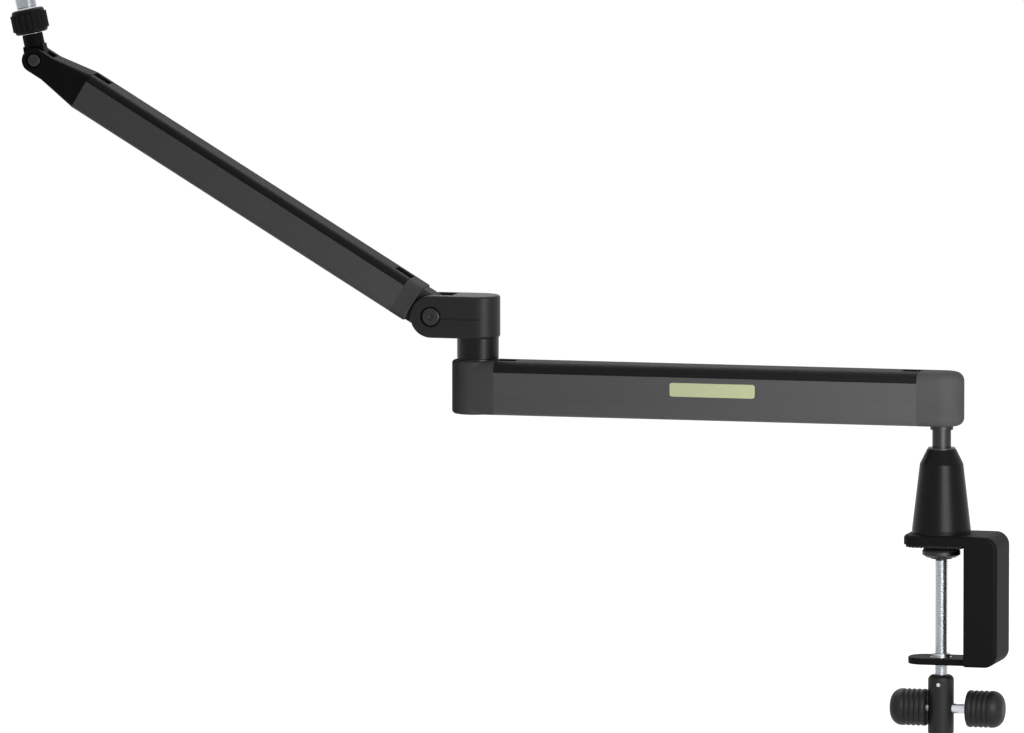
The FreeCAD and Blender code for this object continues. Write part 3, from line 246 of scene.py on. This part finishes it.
def moulded_plastic(name, tint, grain_size, roughness, reflection):
    """Moulded plastic: the mould's etched grain dulls it, and the melt leaves faint cloudy flow."""
    material, tree, place = new_material(name)
    # The etched grain is about 0.3 mm and is drawn coarser, so that it shows.
    flow_size, grain_depth, spread = 18, 0.05, 0.06
    etch = add_node(tree, "ShaderNodeTexVoronoi", {"Vector": place, "Scale": 1 / grain_size})
    flow = add_node(tree, "ShaderNodeTexNoise", {"Vector": place, "Scale": 1 / flow_size, "Detail": 3,
                                                 "Distortion": 1.2})
    dark, light = shades(tint, 0.85, 1.2)
    skin = add_node(tree, "ShaderNodeMix", {"Factor": flow.outputs["Fac"], "A": dark, "B": light},
                    data_type="RGBA")
    gloss = add_node(tree, "ShaderNodeMapRange",
                     {"Value": flow.outputs["Fac"],
                      "To Min": roughness - spread, "To Max": roughness + spread})
    bump = add_node(tree, "ShaderNodeBump", {"Height": etch.outputs["Distance"], "Strength": 0.3,
                                             "Distance": grain_depth * MM})
    shader = add_node(tree, "ShaderNodeBsdfPrincipled",
                      {"Base Color": skin.outputs["Result"], "Roughness": gloss.outputs["Result"],
                       "IOR": 1.5, "Specular IOR Level": reflection, "Normal": bump.outputs["Normal"]})
    add_node(tree, "ShaderNodeOutputMaterial", {"Surface": shader.outputs["BSDF"]})
    return material


def moulded_rubber(tint):
    """Black rubber: dead matt, with dust caught in its pores."""
    material, tree, place = new_material("moulded_rubber")
    # The pores are about 0.1 mm and are drawn at 0.4 mm, so that they show.
    pore_size, pore_depth = 0.4, 0.08
    pores = add_node(tree, "ShaderNodeTexNoise", {"Vector": place, "Scale": 1 / pore_size, "Detail": 4,
                                                  "Roughness": 0.7})
    dust = add_node(tree, "ShaderNodeMapRange", {"Value": pores.outputs["Fac"], "From Min": 0.55,
                                                 "From Max": 0.8})
    clean, dusty = shades(tint, 1.0, 1.9)
    skin = add_node(tree, "ShaderNodeMix", {"Factor": dust.outputs["Result"], "A": clean, "B": dusty},
                    data_type="RGBA")
    bump = add_node(tree, "ShaderNodeBump", {"Height": pores.outputs["Fac"], "Strength": 0.4,
                                             "Distance": pore_depth * MM})
    shader = add_node(tree, "ShaderNodeBsdfPrincipled",
                      {"Base Color": skin.outputs["Result"], "Roughness": 0.88, "IOR": 1.52,
                       "Specular IOR Level": 0.3, "Normal": bump.outputs["Normal"]})
    add_node(tree, "ShaderNodeOutputMaterial", {"Surface": shader.outputs["BSDF"]})
    return material


def worked_metal(name, tint, roughness, mottle):
    """Turned metal, plated or oxidised: fine marks of the tool under a slightly uneven skin."""
    material, tree, place = new_material(name)
    # The tool's marks are about 0.1 mm wide and are drawn at 0.25 mm, so that they show.
    mark_size, mark_depth, patch_size, spread = 0.25, 0.02, 6, 0.08
    marks = add_node(tree, "ShaderNodeTexNoise", {"Vector": place, "Scale": 1 / mark_size, "Detail": 2})
    patch = add_node(tree, "ShaderNodeTexNoise", {"Vector": place, "Scale": 1 / patch_size, "Detail": 4})
    dark, light = shades(tint, 1 - mottle, 1 + mottle)
    skin = add_node(tree, "ShaderNodeMix", {"Factor": patch.outputs["Fac"], "A": dark, "B": light},
                    data_type="RGBA")
    gloss = add_node(tree, "ShaderNodeMapRange",
                     {"Value": patch.outputs["Fac"],
                      "To Min": roughness - spread, "To Max": roughness + spread})
    bump = add_node(tree, "ShaderNodeBump", {"Height": marks.outputs["Fac"], "Strength": 0.12,
                                             "Distance": mark_depth * MM})
    shader = add_node(tree, "ShaderNodeBsdfPrincipled",
                      {"Base Color": skin.outputs["Result"], "Metallic": 1.0,
                       "Roughness": gloss.outputs["Result"], "Normal": bump.outputs["Normal"]})
    add_node(tree, "ShaderNodeOutputMaterial", {"Surface": shader.outputs["BSDF"]})
    return material


def satin_inlay(tint):
    """Satin polycarbonate inlay: pale, slightly cloudy, with a soft sheen."""
    material, tree, place = new_material("satin_polycarbonate")
    # The satin grain is about 0.1 mm and is drawn at 0.4 mm, so that it shows.
    cloud_size, grain_size, grain_depth = 4, 0.4, 0.02
    cloud = add_node(tree, "ShaderNodeTexNoise", {"Vector": place, "Scale": 1 / cloud_size, "Detail": 4})
    grain = add_node(tree, "ShaderNodeTexNoise", {"Vector": place, "Scale": 1 / grain_size, "Detail": 2})
    dark, light = shades(tint, 0.94, 1.04)
    skin = add_node(tree, "ShaderNodeMix", {"Factor": cloud.outputs["Fac"], "A": dark, "B": light},
                    data_type="RGBA")
    gloss = add_node(tree, "ShaderNodeMapRange",
                     {"Value": grain.outputs["Fac"], "To Min": 0.38, "To Max": 0.5})
    bump = add_node(tree, "ShaderNodeBump", {"Height": grain.outputs["Fac"], "Strength": 0.1,
                                             "Distance": grain_depth * MM})
    shader = add_node(tree, "ShaderNodeBsdfPrincipled",
                      {"Base Color": skin.outputs["Result"], "Roughness": gloss.outputs["Result"],
                       "IOR": 1.58, "Normal": bump.outputs["Normal"]})
    add_node(tree, "ShaderNodeOutputMaterial", {"Surface": shader.outputs["BSDF"]})
    return material


def dress(material, *nodes):
    """Give CAD nodes a material."""
    for node in nodes:
        frame["nodes"][node].material_slots[0].material = material


def add_piece(name, form, material, node, stands_for_it=True):
    """Turn a mesh in the arm's frame into a piece that rides with a CAD node, and mostly stands for it."""
    mesh = bpy.data.meshes.new(name)
    form.to_mesh(mesh)
    form.free()
    mesh.shade_smooth()
    mesh.set_sharp_from_angle(angle=SHARP_EDGE)
    mesh.materials.append(material)
    piece = bpy.data.objects.new(name, mesh)
    bpy.context.scene.collection.objects.link(piece)
    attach(piece, BODY[node])
    if stands_for_it:
        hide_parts(node)


def frame_at(origin, direction):
    """A place whose own Z runs along a direction."""
    return Matrix.Translation(origin) @ Vector(direction).to_track_quat("Z", "Y").to_matrix().to_4x4()


def add_ring(form, place, points):
    """New corners at a place, from points in metres."""
    return [form.verts.new(place @ Vector(p)) for p in points]


def bridge(form, low, high):
    """Faces between two closed rings of points, either of which may be a single point."""
    count = max(len(low), len(high))
    for i in range(count):
        j = (i + 1) % count
        corners = [low[i % len(low)], low[j % len(low)], high[j % len(high)], high[i % len(high)]]
        unique = list(dict.fromkeys(corners))
        if len(unique) > 2:
            form.faces.new(unique)


def circle_points(radius, height, segments):
    """A level circle from sizes in millimetres, or the one point of a circle without a radius."""
    if radius == 0:
        return [(0, 0, height * MM)]
    turn = 2 * math.pi / segments
    return [(radius * MM * math.cos(i * turn), radius * MM * math.sin(i * turn), height * MM)
            for i in range(segments)]


def quarter_turn(steps):
    """Angles of a quarter turn in equal steps."""
    return [math.pi / 2 * i / steps for i in range(steps + 1)]


def lathe(form, place, outline, segments=64):
    """Turn an outline of (radius, height) points in millimetres about the place's Z."""
    rings = [add_ring(form, place, circle_points(r, z, segments)) for r, z in outline]
    for low, high in zip(rings, rings[1:]):
        bridge(form, low, high)


def wind_thread(form, place, low, high, root, crest, pitch, segments=36):
    """A vee thread in millimetres, whose rows follow the helix and run out to the root at both ends."""
    # Share of the pitch and radius of the rows that one turn has
    section = ((0.0, root), (0.18, root), (0.5, crest), (0.68, crest))
    per_turn = len(section)
    turns = math.ceil((high - low) / pitch) + 2
    rows = []
    for k in range(turns * per_turn):
        offset, reach = section[k % per_turn]
        row = []
        for i in range(segments):
            turn = i / segments
            z = min(high, max(low, low + (k // per_turn + offset + turn - 1) * pitch))
            fade = min(1, (z - low) / pitch, (high - z) / pitch)
            radius = (root + (reach - root) * fade) * MM
            angle = turn * 2 * math.pi
            row.append((radius * math.cos(angle), radius * math.sin(angle), z * MM))
        rows.append(add_ring(form, place, row))
    for k in range(len(rows) - per_turn - 1):
        for i in range(segments - 1):
            form.faces.new((rows[k][i], rows[k][i + 1], rows[k + 1][i + 1], rows[k + 1][i]))
        # The end of each row meets the start of the same row a turn higher.
        form.faces.new((rows[k][-1], rows[k + per_turn][0], rows[k + per_turn + 1][0], rows[k + 1][-1]))
    bmesh.ops.remove_doubles(form, verts=form.verts, dist=1e-7)


def socket_screw(form, place, outline, flats, depth, segments=48):
    """A screw in millimetres, with its head's top at height 0 and a hexagon socket sunk into it."""
    def hexagon(height):
        points = []
        for i in range(segments):
            angle = 2 * math.pi * i / segments
            reach = flats / 2 / math.cos((angle + math.pi / 6) % (math.pi / 3) - math.pi / 6) * MM
            points.append((reach * math.cos(angle), reach * math.sin(angle), height * MM))
        return points

    drill_point = (0, 0, -(depth + flats / 4) * MM)
    rings = [[drill_point], hexagon(-depth), hexagon(0)]
    rings += [circle_points(r, z, segments) for r, z in outline]
    rings = [add_ring(form, place, ring) for ring in rings]
    for low, high in zip(rings, rings[1:]):
        bridge(form, low, high)


def countersunk_outline(head, shank, span):
    """Half section of a countersunk screw, from the rim of its head to its tip."""
    edge, land, tip, narrowing = 0.1, 0.15, 0.4, 0.8
    return [(head - edge, 0), (head, -land), (shank, shank - head), (shank, tip - span),
            (narrowing * shank, -span), (0, -span)]


def bolt_outline(head, head_height, shank, span):
    """Half section of a hinge bolt with a rounded head, from the rim of the head to the tip."""
    # How far in from the head's edge and down from its top the points of the rounding lie
    rounding = ((1.4, 0), (0.5, 0.3), (0, 0.9))
    tip = 0.6
    outline = [(head - inward, -down) for inward, down in rounding]
    return outline + [(head, -head_height), (shank, -head_height), (shank, tip - span), (shank - tip, -span),
                      (0, -span)]


def grip_outline(span, radius, grooves):
    """Half section of a barrel grip: a rounded inner rim, finger grooves and a domed end."""
    bore, rim, dome = 4.0, 2.0, 9.0
    groove_pitch, groove_width, groove_depth, groove_steps = 3.9, 2.6, 0.9, 8
    outline = [(bore, 0)]
    outline += [(radius - rim + rim * math.sin(a), rim - rim * math.cos(a)) for a in quarter_turn(6)]
    first = rim + (span - rim - dome - (grooves - 1) * groove_pitch) / 2
    for k in range(grooves):
        middle = first + k * groove_pitch
        for step in range(groove_steps + 1):
            share = step / groove_steps
            outline.append((radius - groove_depth * math.sin(math.pi * share) ** 2,
                            middle + (share - 0.5) * groove_width))
    outline += [(radius - dome + dome * math.cos(a), span - dome + dome * math.sin(a))
                for a in quarter_turn(12)]
    return outline + [(0, span)]


def rounded_bar(width, height, corner, inset, out):
    """Outline of a bar with rounded corners, in metres from sizes in millimetres."""
    points = []
    for quarter, (x, y) in enumerate(((1, 1), (-1, 1), (-1, -1), (1, -1))):
        for angle in quarter_turn(6):
            turn = angle + quarter * math.pi / 2
            points.append(((x * (width / 2 - corner) + (corner - inset) * math.cos(turn)) * MM,
                           (y * (height / 2 - corner) + (corner - inset) * math.sin(turn)) * MM, out * MM))
    return points


def cut_from(node, cutter):
    """A copy of a CAD node's mesh with the cutter taken out of it."""
    tool_mesh = bpy.data.meshes.new("cutter")
    cutter.to_mesh(tool_mesh)
    cutter.free()
    tool = bpy.data.objects.new("cutter", tool_mesh)
    blank = bpy.data.objects.new("blank", frame["nodes"][node].data.copy())
    for item in (tool, blank):
        bpy.context.scene.collection.objects.link(item)
    weld = blank.modifiers.new("weld", "WELD")
    weld.merge_threshold = 1e-6
    cut = blank.modifiers.new("cut", "BOOLEAN")
    cut.object = tool
    form = bmesh.new()
    form.from_object(blank, bpy.context.evaluated_depsgraph_get())
    for item in (tool, blank):
        mesh = item.data
        bpy.data.objects.remove(item)
        bpy.data.meshes.remove(mesh)
    if len(form.faces) == 0:
        raise RuntimeError(f"the cut of {node} leaves nothing")
    return form


def upper_place(along, up, across):
    """A place on the upper arm from its own coordinates in millimetres, measured from the tilt axis."""
    turn = Matrix.Rotation(UPPER_RISE, 4, "Y")
    return Matrix.Translation(TILT_AXIS) @ turn @ Matrix.Translation(Vector((along, across, up)) * MM)


class BOOM_OT_castings(bpy.types.Operator):
    """Powder-coat the clamp, the riser, the elbow, the microphone head and the ends of both arms"""
    bl_idname = "boom.castings"
    bl_label = "Castings"

    def execute(self, context):
        finishes = context.scene.boom_finishes
        # Coat, colour, roughness, reflection and the castings that have it
        coats = (
            ("black", finishes.casting, 0.34, 0.13, ("riser_cone",)),
            ("gloss", finishes.casting, 0.34, 0.2, ("elbow_column",)),
            ("matt", finishes.casting, 0.6, 0.08, ("clamp_frame", "upper_nose", "mic_knuckle")),
            ("satin", finishes.elbow, 0.42, 0.2, ("elbow_bracket",)),
            ("grey", finishes.arm_end, 0.68, 0.06,
             ("lower_end_cap_base", "lower_end_cap_elbow", "upper_root_knuckle")),
        )
        for coat, tint, roughness, reflection, nodes in coats:
            dress(powder_coat(f"powder_coated_aluminium_{coat}", tint, roughness, reflection), *nodes)
        return {"FINISHED"}


class BOOM_OT_channels(bpy.types.Operator):
    """Anodise the two extruded channels"""
    bl_idname = "boom.channels"
    bl_label = "Channels"

    def execute(self, context):
        tint = context.scene.boom_finishes.channel
        dress(anodised_aluminium("anodised_aluminium_lower", tint, 0), "lower_arm_beam")
        dress(anodised_aluminium("anodised_aluminium_upper", tint, UPPER_RISE), "upper_arm_beam")
        return {"FINISHED"}


class BOOM_OT_covers(bpy.types.Operator):
    """Mould the clip-on cable covers"""
    bl_idname = "boom.covers"
    bl_label = "Cable Covers"

    def execute(self, context):
        abs_plastic = moulded_plastic("moulded_abs", context.scene.boom_finishes.cover, grain_size=0.6,
                                      roughness=0.58, reflection=0.08)
        dress(abs_plastic, "lower_cable_cover", "upper_cable_cover")
        return {"FINISHED"}


class BOOM_OT_bearings(bpy.types.Operator):
    """Mould the bushes, friction washers and the plug under the elbow"""
    bl_idname = "boom.bearings"
    bl_label = "Bearings"

    def execute(self, context):
        acetal = moulded_plastic("moulded_acetal", context.scene.boom_finishes.bearing, grain_size=0.8,
                                 roughness=0.36, reflection=0.4)
        dress(acetal, "cone_bush", "elbow_bush", "elbow_plug", "tilt_bush", "tilt_washers", "tip_washers")
        return {"FINISHED"}


class BOOM_OT_pads(bpy.types.Operator):
    """Mould the rubber pads, with ribs under the jaw and rings on the pressure pad"""
    bl_idname = "boom.pads"
    bl_label = "Rubber Pads"

    def execute(self, context):
        details = context.scene.boom_details
        rubber = moulded_rubber(context.scene.boom_finishes.rubber)

        # A groove is a third of the pitch wide. Its cutter stands out past the pad's sides and underside.
        low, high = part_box("jaw_pad")
        cutter = bmesh.new()
        size = Vector((details.rib_pitch / 3, (high.y - low.y) * 1.2, details.rib_depth * 2))
        for k in range(1, int((high.x - low.x) / details.rib_pitch)):
            middle = Vector((low.x + k * details.rib_pitch, 0, low.z))
            bmesh.ops.create_cube(cutter, size=1,
                                  matrix=Matrix.Translation(middle) @ Matrix.Diagonal(size.to_4d()))
        add_piece("jaw_pad_ribbed", cut_from("jaw_pad", cutter), rubber, "jaw_pad")

        low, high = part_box("pressure_pad_rubber")
        radius, thick = high.x / MM, (high.z - low.z) / MM
        rim, wall, groove_floor = 0.5, 0.4, thick - 0.6
        disc = [(0, 0), (radius, 0), (radius, thick - rim), (radius - rim, thick)]
        for inner in (10.4, 7.2, 4.0):
            disc += [(inner + 3 * wall, thick), (inner + 2 * wall, groove_floor),
                     (inner + wall, groove_floor), (inner, thick)]
        disc.append((0, thick))
        form = bmesh.new()
        lathe(form, Matrix.Translation((0, 0, low.z)), disc)
        add_piece("pressure_pad_facing", form, rubber, "pressure_pad_rubber")
        return {"FINISHED"}


class BOOM_OT_clamp_screw(bpy.types.Operator):
    """Plate the clamp's screw with its thread, and finish the handle"""
    bl_idname = "boom.clamp_screw"
    bl_label = "Clamp Screw and Handle"

    def execute(self, context):
        finishes, details = context.scene.boom_finishes, context.scene.boom_details
        zinc = worked_metal("zinc_plated_steel", finishes.bright_steel, roughness=0.3, mottle=0.06)
        nylon = moulded_plastic("moulded_nylon", finishes.grip, grain_size=0.5, roughness=0.48,
                                reflection=0.2)
        dress(zinc, "thread_insert", "tommy_bar", "hub_pin")
        dress(nylon, "handle_hub")

        # Heights and radii of the screw in millimetres
        low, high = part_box("clamp_screw")
        foot, shoulder, top = low.z / MM, -10.3, high.z / MM
        under_head = top - 3.2
        root, crest, neck, head = 4.1, 5.0, 3.2, 4.9
        form = bmesh.new()
        lathe(form, Matrix(), [(0, foot), (root, foot)])
        wind_thread(form, Matrix(), foot, shoulder, root, crest, details.screw_pitch / MM)
        lathe(form, Matrix(), [(root, shoulder), (neck, shoulder), (neck, under_head), (head, under_head),
                               (head, top), (0, top)])
        add_piece("clamp_screw_threaded", form, zinc, "clamp_screw")

        for node, side in (("bar_grip_left", -1), ("bar_grip_right", 1)):
            low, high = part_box(node)
            middle = (low + high) / 2
            inner = low.x if side > 0 else high.x
            span, radius = (high.x - low.x) / MM, (high.z - low.z) / 2 / MM
            form = bmesh.new()
            lathe(form, frame_at((inner, middle.y, middle.z), (side, 0, 0)),
                  grip_outline(span, radius, details.groove_count))
            add_piece(f"{node}_grooved", form, nylon, node)
        return {"FINISHED"}


class BOOM_OT_mic_mount(bpy.types.Operator):
    """Cut the microphone thread and mould its fluted lock ring"""
    bl_idname = "boom.mic_mount"
    bl_label = "Microphone Mount"

    def execute(self, context):
        finishes, details = context.scene.boom_finishes, context.scene.boom_details
        dress(moulded_plastic("moulded_nylon_ring", finishes.grip, grain_size=0.5, roughness=0.46,
                              reflection=0.08), "mic_lock_ring")
        nickel = worked_metal("nickel_plated_brass", finishes.bright_steel, roughness=0.26, mottle=0.05)

        # Heights above the tip axis and radii of the stud and of the hole in its top, in millimetres
        place = frame_at(TIP_AXIS, (-math.sin(HEAD_LEAN), 0, math.cos(HEAD_LEAN)))
        foot, undercut, thread_foot, top = 20.0, 38.8, 40.0, 51.0
        crest, root, relief, rim = 7.94, 7.3, 7.2, 6.7
        hole, hole_edge, hole_depth, drill_point = 3.6, 0.4, 7, 2
        form = bmesh.new()
        lathe(form, place, [(0, foot), (crest, foot), (crest, undercut), (relief, undercut),
                            (relief, thread_foot), (root, thread_foot)])
        wind_thread(form, place, thread_foot, top, root, crest, details.stud_pitch / MM, 48)
        lathe(form, place, [(root, top), (rim, top), (hole + hole_edge, top), (hole, top - hole_edge),
                            (hole, top - hole_depth), (0, top - hole_depth - drill_point)])
        add_piece("mic_stud_threaded", form, nickel, "mic_stud")
        return {"FINISHED"}


class BOOM_OT_fasteners(bpy.types.Operator):
    """Blacken the steel fasteners and sink hexagon sockets into those that show"""
    bl_idname = "boom.fasteners"
    bl_label = "Fasteners"

    def execute(self, context):
        black = worked_metal("blackened_steel", context.scene.boom_finishes.black_steel, roughness=0.4,
                             mottle=0.18)
        dress(black, "base_post", "cone_screws", "pressure_pad", "pad_retainer", "elbow_bolt",
              "elbow_spring_washers", "tilt_nut", "tip_nut")

        # Hinge bolt, its axis, radius and height of its head, radius of its shank, and size of its socket
        for node, axis, head, head_height, shank, flats in (("tilt_bolt", TILT_AXIS, 7.0, 3.5, 4.0, 5.0),
                                                            ("tip_bolt", TIP_AXIS, 5.2, 2.5, 3.0, 4.0)):
            low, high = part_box(node)
            outline = bolt_outline(head, head_height, shank, (high.y - low.y) / MM)
            depth = head_height * 0.6
            form = bmesh.new()
            socket_screw(form, frame_at((axis.x, low.y, axis.z), (0, -1, 0)), outline, flats, depth)
            add_piece(f"{node}_socket", form, black, node)

        # The screws stand under both ends of each arm in pairs, heads down; their places are in millimetres.
        heads_down = Matrix.Rotation(math.pi, 4, "X")
        lower, upper = bmesh.new(), bmesh.new()
        head, shank, span, flats, depth = 3.8, 2.0, 13, 2.5, 1.4
        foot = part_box("lower_arm_screws")[0].z / MM
        for along in (-333, -27):
            for across in (-7, 7):
                place = Matrix.Translation(Vector((along, across, foot)) * MM)
                socket_screw(lower, place @ heads_down, countersunk_outline(head, shank, span), flats, depth)
        head, shank, span, flats, depth = 2.8, 1.5, 10, 2.0, 1.1
        foot = -14.7
        for along in (-310, -41):
            for across in (-6, 6):
                place = upper_place(along, foot, across)
                socket_screw(upper, place @ heads_down, countersunk_outline(head, shank, span), flats, depth)
        add_piece("lower_arm_screws_socket", lower, black, "lower_arm_screws")
        add_piece("upper_arm_screws_socket", upper, black, "upper_arm_screws")
        return {"FINISHED"}


class BOOM_OT_accent(bpy.types.Operator):
    """Set a plain pale inlay into the side of the lower arm"""
    bl_idname = "boom.accent"
    bl_label = "Accent Bar"

    def execute(self, context):
        details = context.scene.boom_details
        along, up = -173.7 * MM, 114.3 * MM
        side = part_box("lower_arm_beam")[0].y
        place = frame_at((along, side, up), (0, -1, 0))
        width, height = details.accent_length / MM, details.accent_height / MM
        sunk, proud, edge, corner = 0.3, 0.5, 0.2, 2.0
        form = bmesh.new()
        rings = [add_ring(form, place, rounded_bar(width, height, corner, inset, out))
                 for inset, out in ((0, -sunk), (0, proud - edge), (edge, proud))]
        for low, high in zip(rings, rings[1:]):
            bridge(form, low, high)
        form.faces.new(rings[-1])
        bmesh.ops.recalc_face_normals(form, faces=form.faces)
        add_piece("accent_bar", form, satin_inlay(context.scene.boom_finishes.accent),
                  "lower_arm_beam", stands_for_it=False)
        return {"FINISHED"}


def seen(tree):
    """1 for the rays that show the surround: to the camera, in a gloss or through something clear."""
    rays = add_node(tree, "ShaderNodeLightPath").outputs
    shown = add_node(tree, "ShaderNodeMath", {0: rays["Is Camera Ray"], 1: rays["Is Glossy Ray"]},
                     operation="ADD")
    shown = add_node(tree, "ShaderNodeMath", {0: shown.outputs["Value"], 1: rays["Is Transmission Ray"]},
                     operation="ADD", use_clamp=True)
    return shown.outputs["Value"]


def white_surround(brightness, fill):
    """A white world that lights matt surfaces only with the fill."""
    world = bpy.data.worlds.new("white_surround")
    world.use_nodes = True
    tree = world.node_tree
    tree.nodes.clear()
    level = add_node(tree, "ShaderNodeMapRange", {"Value": seen(tree), "To Min": fill, "To Max": brightness})
    sky = add_node(tree, "ShaderNodeBackground", {"Color": (1, 1, 1, 1), "Strength": level.outputs["Result"]})
    add_node(tree, "ShaderNodeOutputWorld", {"Surface": sky.outputs["Background"]})
    return world


def white_floor(brightness):
    """Matt white paint, lifted to the surround's white where it is seen, so that only its shadow shows."""
    material, tree, place = new_material("matt_white_paint")
    speck_size = 40
    speck = add_node(tree, "ShaderNodeTexNoise", {"Vector": place, "Scale": 1 / speck_size, "Detail": 2})
    shade = add_node(tree, "ShaderNodeMapRange",
                     {"Value": speck.outputs["Fac"], "To Min": 0.78, "To Max": 0.82})
    paint = add_node(tree, "ShaderNodeBsdfDiffuse", {"Color": shade.outputs["Result"]})
    # Near the arm the lamps light the floor and its shadow shows; 1.6 m away the floor glows by itself.
    glow_near, glow_far, far = 0.6, 0.95, 1600
    away = add_node(tree, "ShaderNodeVectorMath", {0: place}, operation="LENGTH")
    glow_level = add_node(tree, "ShaderNodeMapRange",
                          {"Value": away.outputs["Value"], "From Max": far, "To Min": glow_near * brightness,
                           "To Max": glow_far * brightness}, interpolation_type="SMOOTHSTEP")
    lift = add_node(tree, "ShaderNodeMath", {0: seen(tree), 1: glow_level.outputs["Result"]},
                    operation="MULTIPLY")
    glow = add_node(tree, "ShaderNodeEmission", {"Color": (1, 1, 1, 1), "Strength": lift.outputs["Value"]})
    both = add_node(tree, "ShaderNodeAddShader", {0: paint.outputs["BSDF"], 1: glow.outputs["Emission"]})
    add_node(tree, "ShaderNodeOutputMaterial", {"Surface": both.outputs["Shader"]})
    return material


class BOOM_OT_stage(bpy.types.Operator):
    """Set up the white surround, the floor, the soft lights and the camera"""
    bl_idname = "boom.stage"
    bl_label = "Studio"

    def execute(self, context):
        scene, stage = context.scene, context.scene.boom_stage
        scene.view_settings.view_transform = "Standard"
        scene.world = white_surround(stage.backdrop, stage.fill)

        reach, level = 30.0, CAD_BOX[0][2] - stage.floor_drop
        floor = bpy.data.objects.new("floor", bpy.data.meshes.new("floor"))
        floor.data.from_pydata([(-reach, -reach, level), (reach, -reach, level), (reach, reach, level),
                                (-reach, reach, level)], [], [(0, 1, 2, 3)])
        floor.data.materials.append(white_floor(stage.backdrop))
        scene.collection.objects.link(floor)

        view_middle = Vector((-0.3334, 0, 0.1269))
        # The softbox faces straight ahead, so its light falls off towards the microphone.
        lamps = (
            ("softbox", Vector((0.55, -0.8, 0.22)), Vector((0.55, 0, 0.13)), (0.65, 0.45), stage.softbox),
            ("overhead", Vector((-0.3, -0.1, 1.7)), view_middle, (1.8, 1.2), stage.overhead),
            ("back_light", Vector((-0.6, 1.0, 1.4)), view_middle, (1.2, 0.6), stage.back),
        )
        for name, place, target, (width, height), radiance in lamps:
            lamp = bpy.data.lights.new(name, "AREA")
            lamp.shape = "RECTANGLE"
            lamp.size, lamp.size_y = width, height
            lamp.energy = radiance * math.pi * width * height
            holder = bpy.data.objects.new(name, lamp)
            holder.matrix_world = frame_at(place, place - target)
            holder.visible_camera = False
            scene.collection.objects.link(holder)

        camera = bpy.data.objects.new("camera", bpy.data.cameras.new("camera"))
        sensor = 36
        camera.data.sensor_width = sensor
        camera.data.lens = sensor * stage.distance / stage.view_width
        camera.data.clip_end = 100
        level_share = math.cos(stage.elevation)
        out = Vector((math.sin(stage.azimuth) * level_share, -math.cos(stage.azimuth) * level_share,
                      math.sin(stage.elevation)))
        turn = (-out).to_track_quat("-Z", "Y").to_matrix().to_4x4()
        camera.matrix_world = Matrix.Translation(view_middle + out * stage.distance) @ turn
        scene.collection.objects.link(camera)
        scene.camera = camera
        return {"FINISHED"}


OPERATORS = (BOOM_OT_stage, BOOM_OT_castings, BOOM_OT_channels, BOOM_OT_covers, BOOM_OT_bearings,
             BOOM_OT_pads, BOOM_OT_clamp_screw, BOOM_OT_mic_mount, BOOM_OT_fasteners, BOOM_OT_accent)


class BOOM_PT_arm(bpy.types.Panel):
    """The arm's finishes, details and studio"""
    bl_idname = "BOOM_PT_arm"
    bl_label = "Boom Arm"
    bl_space_type = "VIEW_3D"
    bl_region_type = "UI"
    bl_category = "Boom Arm"

    def draw(self, context):
        for settings in (context.scene.boom_finishes, context.scene.boom_details, context.scene.boom_stage):
            column = self.layout.box().column()
            for name in settings.__annotations__:
                column.prop(settings, name)
        for operator in OPERATORS:
            self.layout.operator(operator.bl_idname)


CLASSES = (BoomFinishes, BoomDetails, BoomStage, *OPERATORS, BOOM_PT_arm)


def register():
    for item in CLASSES:
        bpy.utils.register_class(item)
    bpy.types.Scene.boom_finishes = PointerProperty(type=BoomFinishes)
    bpy.types.Scene.boom_details = PointerProperty(type=BoomDetails)
    bpy.types.Scene.boom_stage = PointerProperty(type=BoomStage)


def unregister():
    del bpy.types.Scene.boom_stage
    del bpy.types.Scene.boom_details
    del bpy.types.Scene.boom_finishes
    for item in reversed(CLASSES):
        bpy.utils.unregister_class(item)


def main():
    register()
    bpy.ops.boom.stage()
    bpy.ops.boom.castings()
    bpy.ops.boom.channels()
    bpy.ops.boom.covers()
    bpy.ops.boom.bearings()
    bpy.ops.boom.pads()
    bpy.ops.boom.clamp_screw()
    bpy.ops.boom.mic_mount()
    bpy.ops.boom.fasteners()
    bpy.ops.boom.accent()


if __name__ == "__main__":
    main()
